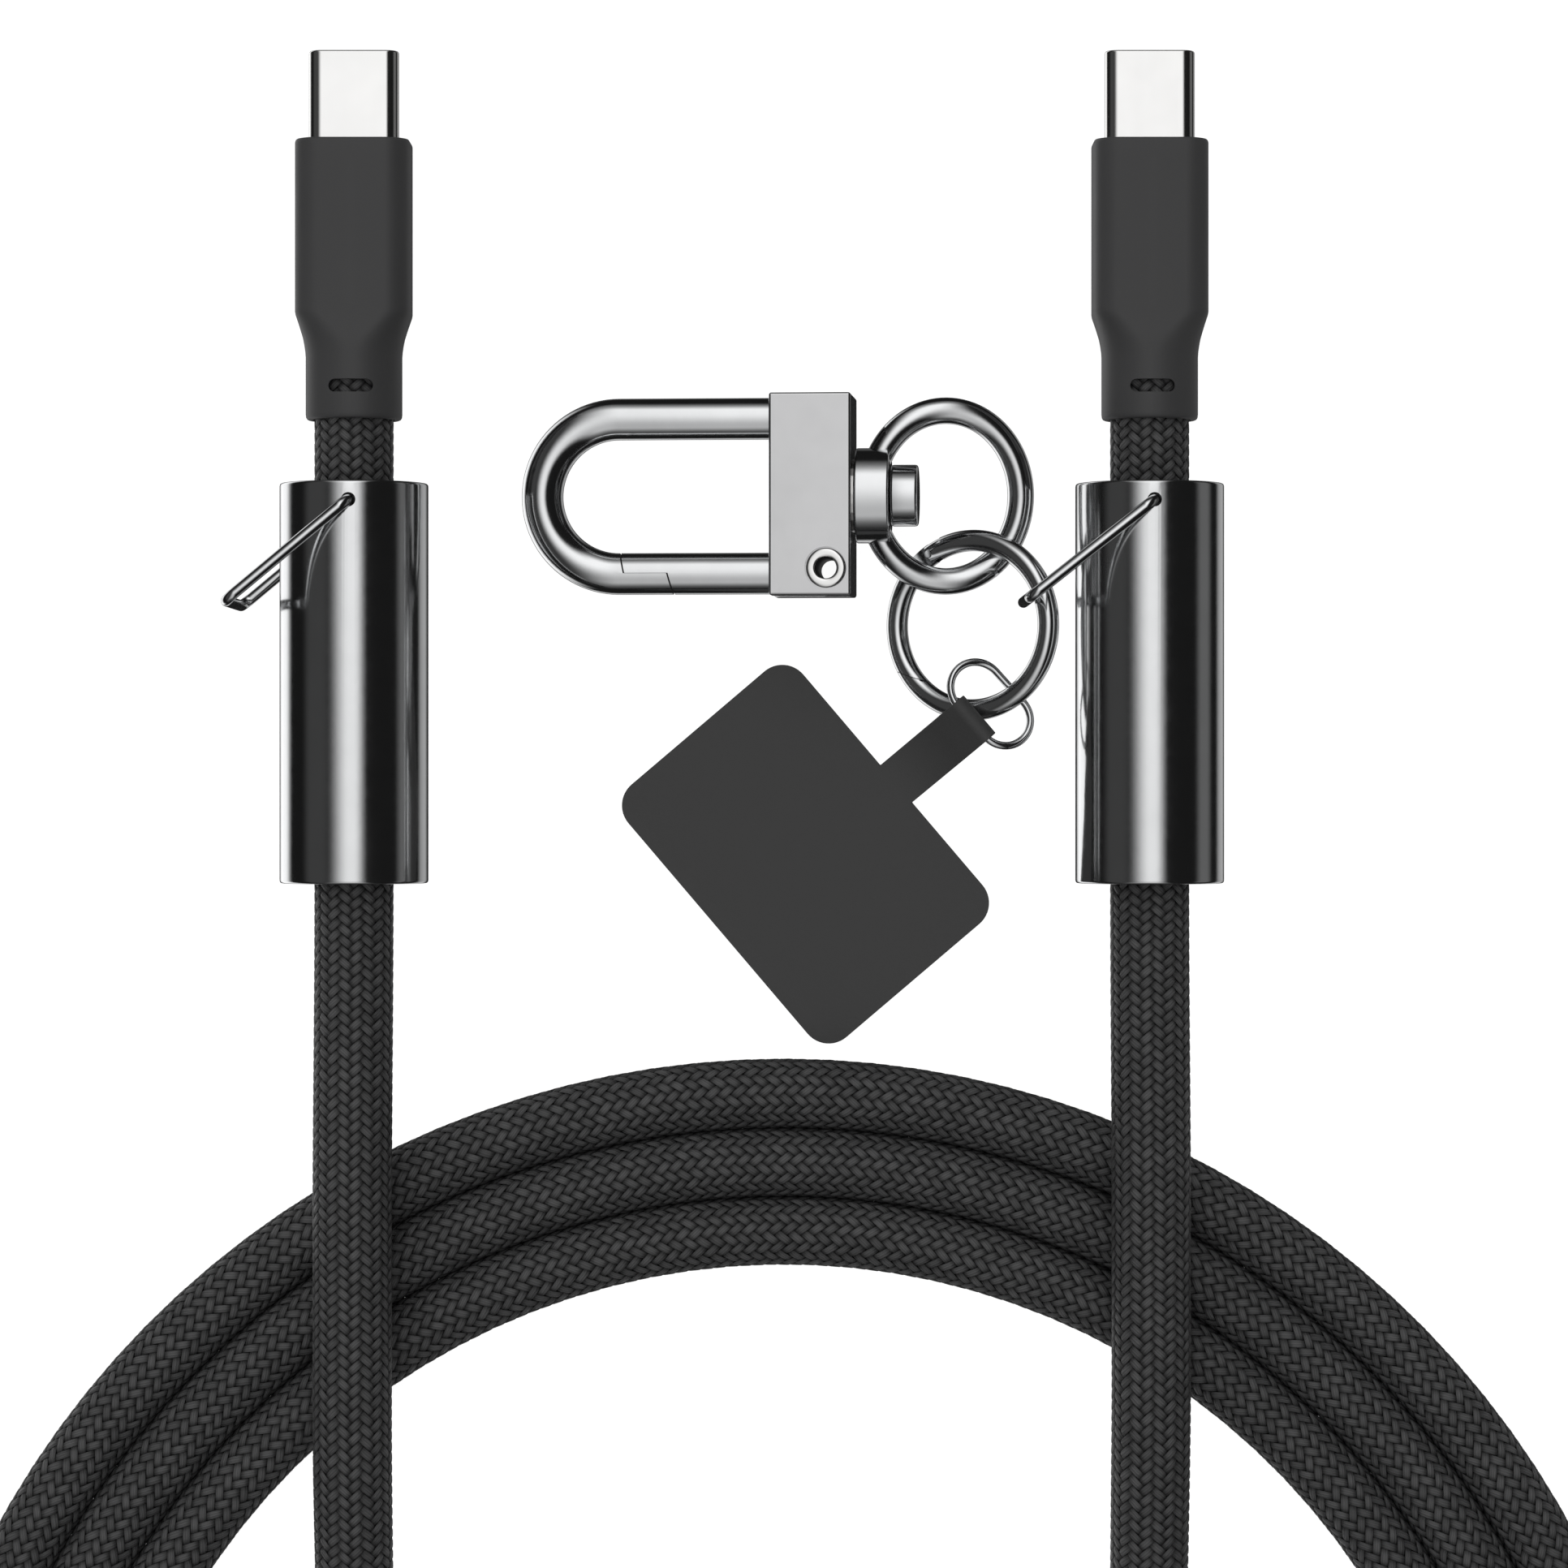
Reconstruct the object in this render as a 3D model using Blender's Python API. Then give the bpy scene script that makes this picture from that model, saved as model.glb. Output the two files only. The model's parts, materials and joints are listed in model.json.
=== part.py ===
"""A braided charging cable with a plug at each end, a sliding metal barrel on each
end, and a chain of charms on the right barrel: spring ring, snap clasp, link ring
and tether tab. The cable lies flat in a round coil. Metres, +Z up, +Y towards the
plugs' tips. The origin is on the resting surface, under the middle of the plugs,
barrels and charms."""

from math import asin, atan2, cos, pi, radians, sin

import bmesh
import bpy
from mathutils import Matrix, Vector

MM = 0.001

# Where things lie
AXIS_Z = 8.4 * MM  # height of the plugs' and barrels' axes
AXIS_X = {"left": -34.4 * MM, "right": 39.25 * MM}
NECK_END_Y = 12.0 * MM  # where the cord leaves each plug

# Cord
RUN_DIAMETER = 7.3 * MM
COIL_DIAMETER = 6.45 * MM
COIL_PITCH = 6.4 * MM
COIL_TURNS = 3
COIL_CENTRE = Vector((5.4 * MM, -131.15 * MM, 0.0))
COIL_RADIUS = 74.2 * MM  # centreline of the middle turn
CROSSING_Z = COIL_DIAMETER + RUN_DIAMETER / 2 + 0.3 * MM

# Plug, measured along the plug from the end of its neck
NECK_RADIUS = 4.47 * MM
NECK_BORE = 3.8 * MM
CORD_SEAT = 6.6 * MM  # how far the cord goes into the neck
WINDOW_AT = 3.25 * MM
WINDOW_SIZE = (4.1 * MM, 1.2 * MM)
FRONT = 26.15 * MM
SHELL_TIP = 34.15 * MM
SHELL_BACK = 22.9 * MM
SHELL_SIZE = (8.34 * MM, 2.56 * MM)
SHELL_WALL = 0.28 * MM
BODY_SIZE = (10.6 * MM, 8.4 * MM)

# Barrel, measured along the barrel from its lower end
BARREL_END_Y = -30.83 * MM
BARREL_LENGTH = 36.98 * MM
BARREL_RADIUS = 6.87 * MM
BARREL_BORE = 5.95 * MM
BUSH_LENGTH = 3.0 * MM
BUSH_BORE = 3.95 * MM
BAIL_HOLE_AT = 35.18 * MM

# Bail
BAIL_WIRE = 0.52 * MM
BAIL_REACH = 14.5 * MM
BAIL_STAND = 7.67 * MM  # legs' distance from the barrel's axis
BAIL_CORNER = 1.1 * MM
BAIL_TURN = {"left": radians(219.8), "right": radians(218.2)}

# Clasp, in its own frame: X along the swivel axis, the hub's middle at the origin
HUB_CENTRE = Vector((13.73 * MM, 5.2 * MM, 5.26 * MM))
CLASP_TILT = radians(-4.5)
BOX_X = (-9.45 * MM, -2.05 * MM)
BOX_HALF = (9.27 * MM, 4.5 * MM)
ROD_RADIUS = 1.945 * MM
HOOK_SPREAD = 7.22 * MM
HOOK_BEND_X = -23.8 * MM
PIN_AT = (-4.3 * MM, -6.85 * MM)
PIN_HEAD = 1.62 * MM
PIN_SHANK = 1.3 * MM
PIN_BORE = 1.05 * MM
RECESS = (1.95 * MM, 0.7 * MM)
HUB_HALF = 1.58 * MM
HUB_RADIUS = 4.43 * MM
HUB_BORE = 1.65 * MM
RIVET_RADIUS = 1.5 * MM
RIVET_HEAD = (1.9 * MM, 4.2 * MM, 2.87 * MM)  # from, to, radius

# Swivel ring and spring ring
SWIVEL_HALF = (7.03 * MM, 7.95 * MM)
SWIVEL_OFFSET = 6.8 * MM
SWIVEL_WIRE = 1.27 * MM
SWIVEL_TILT = radians(5.0)
SWIVEL_ROLL = radians(3.0)
RING_CENTRE = Vector((22.95 * MM, -6.85 * MM, 4.95 * MM))
RING_RADIUS = 7.9 * MM
RING_WIRE = 1.03 * MM
RING_TILT = radians(-29.0)
GATE_FROM = radians(122.0)
GATE_TO = radians(216.0)
SPLIT_TURN = 0.26  # how far past the parting line both wires start, in radians
SPLIT_LEAN = 1.35  # how far the gate's parting line runs along the wire for each step inwards

# Link ring and tether tab
LINK_CENTRE = Vector((24.6 * MM, -14.2 * MM, 6.12 * MM))
LINK_TURN = radians(-48.3)
LINK_SLOPE = radians(18.5)
LINK_HALF_LENGTH = 4.44 * MM
LINK_HALF_WIDTH = 2.54 * MM
LINK_WIRE = 0.36 * MM
TAB_CENTRE = Vector((7.42 * MM, -28.25 * MM, 0.0))
TAB_SIZE = (31.2 * MM, 21.6 * MM)
TAB_CORNER = 2.6 * MM
TAB_THICK = 0.45 * MM
TAB_LIFT = 0.05 * MM
TONGUE_WIDTH = 4.6 * MM
LOOP_BORE = 0.55 * MM
LAP_LENGTH = 3.6 * MM


def start_clean():
    for old in list(bpy.data.objects):
        bpy.data.objects.remove(old, do_unlink=True)


def finish(name, colour, metallic, roughness):
    """A Principled material; a name used again gives the same material."""
    known = bpy.data.materials.get(name)
    if known:
        return known
    made = bpy.data.materials.new(name)
    made.use_nodes = True
    shader = made.node_tree.nodes["Principled BSDF"]
    shader.inputs["Base Color"].default_value = (*colour, 1.0)
    shader.inputs["Metallic"].default_value = metallic
    shader.inputs["Roughness"].default_value = roughness
    return made


def gunmetal():
    return finish("gunmetal", (0.24, 0.24, 0.25), 1.0, 0.18)


def nickel():
    return finish("nickel", (0.8, 0.8, 0.8), 1.0, 0.15)


def steel():
    return finish("spring_steel", (0.55, 0.55, 0.57), 1.0, 0.3)


def copper():
    return finish("gilt_contact", (0.85, 0.62, 0.25), 1.0, 0.25)


def moulding():
    return finish("soft_moulding", (0.05, 0.05, 0.05), 0.0, 0.6)


def hard_plastic():
    return finish("hard_plastic", (0.03, 0.03, 0.03), 0.0, 0.4)


def braid():
    return finish("braid", (0.03, 0.03, 0.03), 0.0, 0.7)


def add(name, points, faces, material, frame=None):
    """One object from points and faces, smooth except at edges over 35 degrees."""
    mesh = bpy.data.meshes.new(name)
    mesh.from_pydata([tuple(p) for p in points], [], faces)
    shape = bmesh.new()
    shape.from_mesh(mesh)
    bmesh.ops.remove_doubles(shape, verts=shape.verts, dist=1e-6)
    bmesh.ops.recalc_face_normals(shape, faces=shape.faces)
    shape.to_mesh(mesh)
    shape.free()
    mesh.shade_smooth()
    mesh.set_sharp_from_angle(angle=radians(35))
    mesh.materials.append(material)
    thing = bpy.data.objects.new(name, mesh)
    bpy.context.scene.collection.objects.link(thing)
    if frame is not None:
        thing.matrix_world = frame
    return thing


def loft(name, loops, material, frame=None, closed=False):
    """Faces between loops of equal count: a capped bar, or a closed ring."""
    count = len(loops[0])
    points = [p for loop in loops for p in loop]
    faces = []
    for i in range(len(loops) if closed else len(loops) - 1):
        a = i * count
        b = (i + 1) % len(loops) * count
        for j in range(count):
            k = (j + 1) % count
            faces.append((a + j, a + k, b + k, b + j))
    if not closed:
        faces.append(tuple(range(count)))
        faces.append(tuple(range(len(points) - count, len(points))))
    return add(name, points, faces, material, frame)


def swept(name, path, radius, material, frame=None, sides=10, closed=False):
    """A round wire along a path, its section carried along without twist."""
    path = [Vector(p) for p in path]
    count = len(path)
    loops = []
    side = None
    for i, point in enumerate(path):
        if closed:
            ahead = path[(i + 1) % count] - path[i - 1]
        else:
            ahead = path[min(i + 1, count - 1)] - path[max(i - 1, 0)]
        ahead.normalize()
        if side is None:
            guide = Vector((0, 0, 1)) if abs(ahead.z) < 0.9 else Vector((1, 0, 0))
            side = ahead.cross(guide)
        side = (side - side.dot(ahead) * ahead).normalized()
        up = ahead.cross(side)
        turns = [2 * pi * k / sides for k in range(sides)]
        loops.append([point + radius * (cos(t) * side + sin(t) * up) for t in turns])
    return loft(name, loops, material, frame, closed)


def turned(name, profile, material, frame=None, sides=32, axis="Y", hollow=True):
    """A profile of (radius, height) turned about an axis. A hollow one is a ring."""
    loops = []
    for k in range(sides):
        t = 2 * pi * k / sides
        loops.append([on_axis(r * cos(t), r * sin(t), h, axis) for r, h in profile])
    if hollow:
        return loft(name, loops, material, frame, closed=True)
    across = [[loop[i] for loop in loops] for i in range(len(profile))]
    return loft(name, across, material, frame)


def on_axis(a, b, h, axis):
    if axis == "X":
        return Vector((h, a, b))
    if axis == "Y":
        return Vector((b, h, a))
    return Vector((a, b, h))


def prism(name, outline, low, high, material, frame=None):
    """A flat outline of (x, y), raised from low to high."""
    loops = [[Vector((x, y, z)) for x, y in outline] for z in (low, high)]
    return loft(name, loops, material, frame)


def box(name, low, high, material, frame=None):
    outline = ((low[0], low[1]), (high[0], low[1]), (high[0], high[1]), (low[0], high[1]))
    return prism(name, outline, low[2], high[2], material, frame)


def cut(target, cutter, operation="DIFFERENCE"):
    """A Boolean whose second shape is a hidden guide."""
    cutter.hide_render = True
    cutter.display_type = "WIRE"
    step = target.modifiers.new(cutter.name, "BOOLEAN")
    step.operation = operation
    step.solver = "EXACT"
    step.object = cutter
    return target


def bar(name, radius, low, high, axis, centre, frame=None, sides=24):
    """A plain round bar along an axis, for cutting and joining."""
    thing = turned(name, ((radius, low), (radius, high)), steel(), None, sides, axis, False)
    thing.data.transform(Matrix.Translation(Vector(centre)))
    if frame is not None:
        thing.matrix_world = frame
    return thing


def arc(centre, radius, start, end, steps):
    """Points (x, y) on an arc, both ends among them."""
    turns = [start + (end - start) * k / steps for k in range(steps + 1)]
    return [(centre[0] + radius * cos(t), centre[1] + radius * sin(t)) for t in turns]


def rounded_outline(half_x, half_y, corner, steps=5):
    """A rectangle with round corners, counter-clockwise."""
    points = []
    for k, (sx, sy) in enumerate(((1, 1), (-1, 1), (-1, -1), (1, -1))):
        centre = (sx * (half_x - corner), sy * (half_y - corner))
        points += arc(centre, corner, k * pi / 2, (k + 1) * pi / 2, steps)
    return points


def section(half_x, half_z, corner, y, steps=5):
    """A round-cornered section across the plug, at y along it."""
    return [Vector((x, y, z)) for x, z in rounded_outline(half_x, half_z, corner, steps)]


def side_frame(side, y=0.0):
    return Matrix.Translation((AXIS_X[side], y, AXIS_Z))


# ---------------------------------------------------------------- plugs


def overmould(side):
    """The soft grip: a straight body, a short taper, and a round neck."""
    frame = side_frame(side, NECK_END_Y)
    half_x, half_z = BODY_SIZE[0] / 2, BODY_SIZE[1] / 2
    neck = NECK_RADIUS
    edge = 0.35 * MM
    stations = (
        (0.0, neck - 0.2 * MM, neck - 0.2 * MM, 1.0),
        (0.2 * MM, neck, neck, 1.0),
        (6.05 * MM, neck, neck, 1.0),
        (7.3 * MM, 4.62 * MM, 4.44 * MM, 0.9),
        (8.4 * MM, 4.9 * MM, 4.3 * MM, 0.75),
        (9.75 * MM, half_x, half_z, 0.55),
        (FRONT - edge, half_x, half_z, 0.55),
        (FRONT - 0.1 * MM, half_x - 0.12 * MM, half_z - 0.12 * MM, 0.55),
        (FRONT, half_x - edge, half_z - edge, 0.55),
    )
    loops = [section(x, z, min(x, z) * r * 0.999, y) for y, x, z, r in stations]
    body = loft(f"overmould_{side}", loops, moulding(), frame)
    cavity = [section(4.55 * MM, 3.0 * MM, 0.8 * MM, y, 2) for y in (9.9 * MM, 25.0 * MM)]
    cut(body, loft(f"cavity_cutter_{side}", cavity, moulding(), frame))
    slot = [section(4.4 * MM, 1.5 * MM, 1.3 * MM, y, 4) for y in (24.0 * MM, 27.0 * MM)]
    cut(body, loft(f"slot_cutter_{side}", slot, moulding(), frame))
    bore = bar(f"bore_cutter_{side}", NECK_BORE, -1 * MM, 10.4 * MM, "Y", (0, 0, 0), frame, 32)
    cut(body, bore)
    half_x, half_y = WINDOW_SIZE[0] / 2, WINDOW_SIZE[1] / 2
    outline = rounded_outline(half_x, half_y, half_y * 0.98, 4)
    outline = [(x, y + WINDOW_AT) for x, y in outline]
    window = prism(f"window_cutter_{side}", outline, -6 * MM, 6 * MM, moulding(), frame)
    cut(body, window)


def plug_shell(side):
    """The drawn metal shell, a flat tube open at both ends."""
    frame = side_frame(side, NECK_END_Y)
    half_x, half_z = SHELL_SIZE[0] / 2, SHELL_SIZE[1] / 2
    inner_x, inner_z = half_x - SHELL_WALL, half_z - SHELL_WALL
    lip = 0.12 * MM
    rings = (
        (SHELL_BACK, half_x, half_z),
        (SHELL_TIP - lip, half_x, half_z),
        (SHELL_TIP, half_x - lip, half_z - lip),
        (SHELL_TIP, inner_x, inner_z),
        (SHELL_BACK, inner_x, inner_z),
    )
    loops = [section(x, z, z * 0.98, y, 5) for y, x, z in rings]
    loft(f"plug_shell_{side}", loops, nickel(), frame, closed=True)


def contact_insulator(side):
    """The black core that carries the contacts above and below the tongue's slot."""
    frame = side_frame(side, NECK_END_Y)
    body = box(
        f"contact_insulator_{side}",
        (-3.3 * MM, 23.2 * MM, -0.82 * MM),
        (3.3 * MM, 33.2 * MM, 0.82 * MM),
        hard_plastic(),
        frame,
    )
    mouth = box(
        f"mouth_cutter_{side}",
        (-4 * MM, 25.2 * MM, -0.56 * MM),
        (4 * MM, 34 * MM, 0.56 * MM),
        hard_plastic(),
        frame,
    )
    cut(body, mouth)
    for level, name in ((0.36 * MM, "upper"), (-0.36 * MM, "lower")):
        channel = box(
            f"{name}_channel_cutter_{side}",
            (-3.05 * MM, 23 * MM, level - 0.13 * MM),
            (3.05 * MM, 26 * MM, level + 0.13 * MM),
            hard_plastic(),
            frame,
        )
        cut(body, channel)


def contact_comb(side, row):
    """Twelve spring contacts stamped from one strip."""
    frame = side_frame(side, NECK_END_Y)
    level = 0.36 * MM if row == "upper" else -0.36 * MM
    pitch, blade = 0.5 * MM, 0.13 * MM
    back, root, tip = 22.72 * MM, 22.98 * MM, 32.6 * MM
    outline = [(-2.9 * MM, back), (2.9 * MM, back)]
    for k in range(12):
        x = (5.5 - k) * pitch
        outline += [(x + blade, root), (x + blade, tip), (x - blade, tip), (x - blade, root)]
    half = 0.08 * MM
    prism(f"contacts_{row}_{side}", outline, level - half, level + half, copper(), frame)


def latch_spring(side):
    """The U-shaped plate whose arms grip the socket."""
    frame = side_frame(side, NECK_END_Y)
    back, root, tip = 22.68 * MM, 22.95 * MM, 32.0 * MM
    wide, inner = 3.75 * MM, 3.5 * MM
    hook = inner - 0.3 * MM
    right_half = [
        (wide, back),
        (wide, tip),
        (hook, tip),
        (hook, tip - 0.4 * MM),
        (inner, tip - 0.7 * MM),
        (inner, root),
    ]
    outline = right_half + [(-x, y) for x, y in reversed(right_half)]
    half = 0.1 * MM
    prism(f"latch_spring_{side}", outline, -half, half, steel(), frame)


def paddle_card(side):
    """The small circuit card, and the marker chip on it."""
    frame = side_frame(side, NECK_END_Y)
    green = finish("circuit_card", (0.02, 0.16, 0.06), 0.0, 0.45)
    box(
        f"paddle_card_{side}",
        (-3.8 * MM, 14.4 * MM, -0.3 * MM),
        (3.8 * MM, 22.45 * MM, 0.3 * MM),
        green,
        frame,
    )
    box(
        f"emarker_chip_{side}",
        (-1.2 * MM, 18.2 * MM, 0.4 * MM),
        (1.2 * MM, 20.6 * MM, 1.1 * MM),
        hard_plastic(),
        frame,
    )


def shield_can(side):
    """The folded screen around the card, a flat tube."""
    frame = side_frame(side, NECK_END_Y)
    outer, inner = (4.3 * MM, 2.2 * MM), (4.05 * MM, 1.95 * MM)
    rings = ((13.6 * MM, outer), (22.5 * MM, outer), (22.5 * MM, inner), (13.6 * MM, inner))
    loops = [section(x, z, 0.4 * MM, y, 1) for y, (x, z) in rings]
    loft(f"shield_can_{side}", loops, steel(), frame, closed=True)


def inner_mould(side):
    """The hard block behind the screen that holds the wires still."""
    frame = side_frame(side, NECK_END_Y)
    loops = [section(4.2 * MM, 2.6 * MM, 0.7 * MM, y, 2) for y in (10.9 * MM, 13.3 * MM)]
    body = loft(f"inner_mould_{side}", loops, hard_plastic(), frame)
    cut(body, bar(f"wire_way_cutter_{side}", 2.45 * MM, 10 * MM, 14 * MM, "Y", (0, 0, 0), frame))


def crimp_ferrule(side):
    """The metal sleeve closed on the end of the cord's jacket."""
    near, far, outer, inner = 7.0 * MM, 10.2 * MM, 3.6 * MM, 2.9 * MM
    profile = ((outer, near), (outer, far), (inner, far), (inner, near))
    turned(f"crimp_ferrule_{side}", profile, copper(), side_frame(side, NECK_END_Y), 24)


def wires(side):
    """The cord's four conductors, from the cord's end to the card's pads."""
    frame = side_frame(side, NECK_END_Y)
    places = {
        "power_wire": (-1.3 * MM, 0.0, (0.6, 0.03, 0.02)),
        "ground_wire": (1.3 * MM, 0.0, (0.02, 0.02, 0.02)),
        "data_wire_a": (0.0, 0.95 * MM, (0.03, 0.25, 0.06)),
        "data_wire_b": (0.0, -0.95 * MM, (0.7, 0.7, 0.7)),
    }
    for name, (x, z, colour) in places.items():
        coat = finish(name, colour, 0.0, 0.45)
        spread = 1.6 * x
        side_z = z if z else 0.8 * MM
        path = [
            (x, 7.0 * MM, z),
            (x, 12.0 * MM, z),
            (spread, 14.2 * MM, side_z),
            (spread, 16.6 * MM, side_z),
        ]
        swept(f"{name}_{side}", path, 0.42 * MM, coat, frame, 8)


# ---------------------------------------------------------------- barrels


def barrel(side):
    """The sliding metal tube, drilled across for its bail, and its plastic bush."""
    frame = side_frame(side, BARREL_END_Y)
    edge = 0.22 * MM
    profile = (
        (BARREL_RADIUS, BARREL_LENGTH - edge),
        (BARREL_RADIUS - edge, BARREL_LENGTH),
        (BARREL_BORE + edge, BARREL_LENGTH),
        (BARREL_BORE, BARREL_LENGTH - edge),
        (BARREL_BORE, edge),
        (BARREL_BORE + edge, 0.0),
        (BARREL_RADIUS - edge, 0.0),
        (BARREL_RADIUS, edge),
    )
    tube = turned(f"barrel_tube_{side}", profile, gunmetal(), frame, 40)
    hole = BAIL_WIRE + 0.16 * MM
    across = bar(f"bail_hole_cutter_{side}", hole, -9 * MM, 9 * MM, "Z", (0, BAIL_HOLE_AT, 0), frame, 16)
    cut(tube, across)
    outer = BARREL_BORE - 0.1 * MM
    ring = (
        (outer, 0.3 * MM + BUSH_LENGTH),
        (BUSH_BORE + 0.3 * MM, 0.3 * MM + BUSH_LENGTH),
        (BUSH_BORE, BUSH_LENGTH),
        (BUSH_BORE, 0.6 * MM),
        (BUSH_BORE + 0.3 * MM, 0.3 * MM),
        (outer, 0.3 * MM),
    )
    turned(f"barrel_bush_{side}", ring, hard_plastic(), frame, 32)


def bail(side):
    """A wire stirrup: two legs beside the barrel, a bridge, and tips in its holes."""
    pivot = Matrix.Translation((AXIS_X[side], BARREL_END_Y + BAIL_HOLE_AT, AXIS_Z))
    frame = pivot @ Matrix.Rotation(BAIL_TURN[side], 4, "Z")
    r = BAIL_CORNER
    half = [(0.0, BARREL_BORE + 0.1 * MM), (0.0, BAIL_STAND - r)]
    half += arc((r, BAIL_STAND - r), r, pi, pi / 2, 4)[1:]
    half += arc((BAIL_REACH - r, BAIL_STAND - r), r, pi / 2, 0.0, 4)
    path = [(x, 0.0, z) for x, z in half] + [(x, 0.0, -z) for x, z in reversed(half)]
    swept(f"bail_{side}", path, BAIL_WIRE, gunmetal(), frame, 10)


# ---------------------------------------------------------------- clasp


def clasp_frame():
    return Matrix.Translation(HUB_CENTRE) @ Matrix.Rotation(CLASP_TILT, 4, "Y")


def clasp_body():
    """The cast box: slot for the gate, socket for the hook, pin and rivet holes."""
    frame = clasp_frame()
    low = (BOX_X[0], -BOX_HALF[0], -BOX_HALF[1])
    high = (BOX_X[1], BOX_HALF[0], BOX_HALF[1])
    body = box("clasp_body", low, high, gunmetal(), frame)
    edges = body.modifiers.new("edges", "BEVEL")
    edges.width = 0.18 * MM
    edges.segments = 2
    right, top = PIN_AT[0] + 1.95 * MM, PIN_AT[1] + 2.3 * MM
    outline = (
        (BOX_X[0] - 1 * MM, -BOX_HALF[0] - 1 * MM),
        (right, -BOX_HALF[0] - 1 * MM),
        (right, top),
        (BOX_X[0] - 1 * MM, top + 3.2 * MM),
    )
    cut(body, prism("slot_cutter", outline, -2.1 * MM, 2.1 * MM, gunmetal(), frame))
    socket = ROD_RADIUS + 0.05 * MM
    cut(body, bar("socket_cutter", socket, BOX_X[0] - 1 * MM, -4.6 * MM, "X", (0, HOOK_SPREAD, 0), frame))
    cut(body, bar("pin_cutter", PIN_SHANK + 0.1 * MM, -6 * MM, 6 * MM, "Z", (*PIN_AT, 0), frame))
    for sign in (-1, 1):
        near, far = sorted((sign * (BOX_HALF[1] - RECESS[1]), sign * 6 * MM))
        cut(body, bar(f"recess_cutter_{sign + 1}", RECESS[0], near, far, "Z", (*PIN_AT, 0), frame))
    cut(body, bar("rivet_cutter", RIVET_RADIUS + 0.1 * MM, -6.6 * MM, 0.0, "X", (0, 0, 0), frame))


def latch_step(gap):
    """The Z-shaped parting line of hook and gate, as x, y points, moved by half the gap."""
    y = -HOOK_SPREAD
    line = (
        (-23.75 * MM, y + 2.4 * MM),
        (-23.2 * MM, y + 0.02 * MM),
        (-19.15 * MM, y + 0.02 * MM),
        (-18.5 * MM, y - 2.4 * MM),
    )
    return [(x + gap, py + gap * 0.4) for x, py in line]


def clasp_hook():
    """The fixed rod bent to a U, stepped at its free end."""
    frame = clasp_frame()
    bend = arc((HOOK_BEND_X, 0.0), HOOK_SPREAD, pi / 2, 1.5 * pi, 14)
    path = [(-4.7 * MM, HOOK_SPREAD), *bend, (-18.2 * MM, -HOOK_SPREAD)]
    body = swept("clasp_hook", [(x, y, 0.0) for x, y in path], ROD_RADIUS, gunmetal(), frame, 20)
    outline = latch_step(-0.08 * MM)
    outline += [(-15 * MM, -HOOK_SPREAD - 2.4 * MM), (-15 * MM, -HOOK_SPREAD + 2.4 * MM)]
    cut(body, prism("hook_step_cutter", outline, -3 * MM, 3 * MM, gunmetal(), frame))


def clasp_gate():
    """The sprung rod that opens inwards, with an eye on the pin."""
    frame = Matrix(clasp_frame()) @ Matrix.Translation((*PIN_AT, 0.0))
    x0, y0 = PIN_AT
    body = bar("clasp_gate", ROD_RADIUS, -24.4 * MM - x0, -0.6 * MM, "X", (0, -HOOK_SPREAD - y0, 0), frame, 20)
    body.data.materials.clear()
    body.data.materials.append(gunmetal())
    outline = latch_step(0.08 * MM)
    outline = [(-30 * MM, -HOOK_SPREAD + 2.4 * MM), *outline, (-30 * MM, -HOOK_SPREAD - 2.4 * MM)]
    outline = [(x - x0, y - y0) for x, y in outline]
    cut(body, prism("gate_step_cutter", outline, -3 * MM, 3 * MM, gunmetal(), frame))
    clear = 1.86 * MM
    for sign in (-1, 1):
        near, far = sorted((sign * 1.15 * MM, sign * 3 * MM))
        low, high = (-2.2 * MM, -4 * MM, near), (4 * MM, 4 * MM, far)
        cut(body, box(f"gate_flat_cutter_{sign + 1}", low, high, gunmetal(), frame))
    cut(body, bar("gate_eye", clear, -1.15 * MM, 1.15 * MM, "Z", (0, 0, 0), frame), "UNION")
    cut(body, bar("gate_bore_cutter", PIN_SHANK + 0.1 * MM, -3 * MM, 3 * MM, "Z", (0, 0, 0), frame))


def gate_pin():
    """The hollow pin, its ends flared into the box's recesses."""
    frame = clasp_frame() @ Matrix.Translation((*PIN_AT, 0.0))
    top = BOX_HALF[1] - 0.06 * MM
    head = BOX_HALF[1] - RECESS[1] + 0.06 * MM
    edge = 0.2 * MM
    upper = [
        (PIN_SHANK, head),
        (PIN_HEAD, head),
        (PIN_HEAD, top - edge),
        (PIN_HEAD - edge, top),
        (PIN_BORE + edge, top),
        (PIN_BORE, top - 1.5 * edge),
    ]
    lower = [(r, -h) for r, h in reversed(upper)]
    turned("gate_pin", upper + lower, gunmetal(), frame, 28, "Z")


def gate_spring():
    """The wire spring on the pin that holds the gate shut."""
    frame = clasp_frame() @ Matrix.Translation((*PIN_AT, 0.0))
    turns, steps, wire = 1.25, 30, 0.11 * MM
    path = []
    for k in range(steps + 1):
        t = 2 * pi * turns * k / steps
        path.append((1.56 * MM * cos(t), 1.56 * MM * sin(t), (1.4 + 0.5 * k / steps) * MM))
    swept("gate_spring", path, wire, steel(), frame, 6)


def swivel_rivet():
    """The rivet that the hub turns on: shank in the box, head beyond the hub."""
    near, far, head = RIVET_HEAD
    profile = (
        (RIVET_RADIUS, -6.3 * MM), (RIVET_RADIUS, near), (head, near),
        (head, far - 0.25 * MM), (head - 0.25 * MM, far),
    )
    turned("swivel_rivet", profile, gunmetal(), clasp_frame(), 24, "X", False)


def swivel_washer():
    """The thin washer between the box and the hub."""
    outer, inner = 3.4 * MM, HUB_BORE
    near, far = -1.95 * MM, -1.7 * MM
    profile = ((outer, near), (outer, far), (inner, far), (inner, near))
    turned("swivel_washer", profile, steel(), clasp_frame(), 24, "X")


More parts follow.
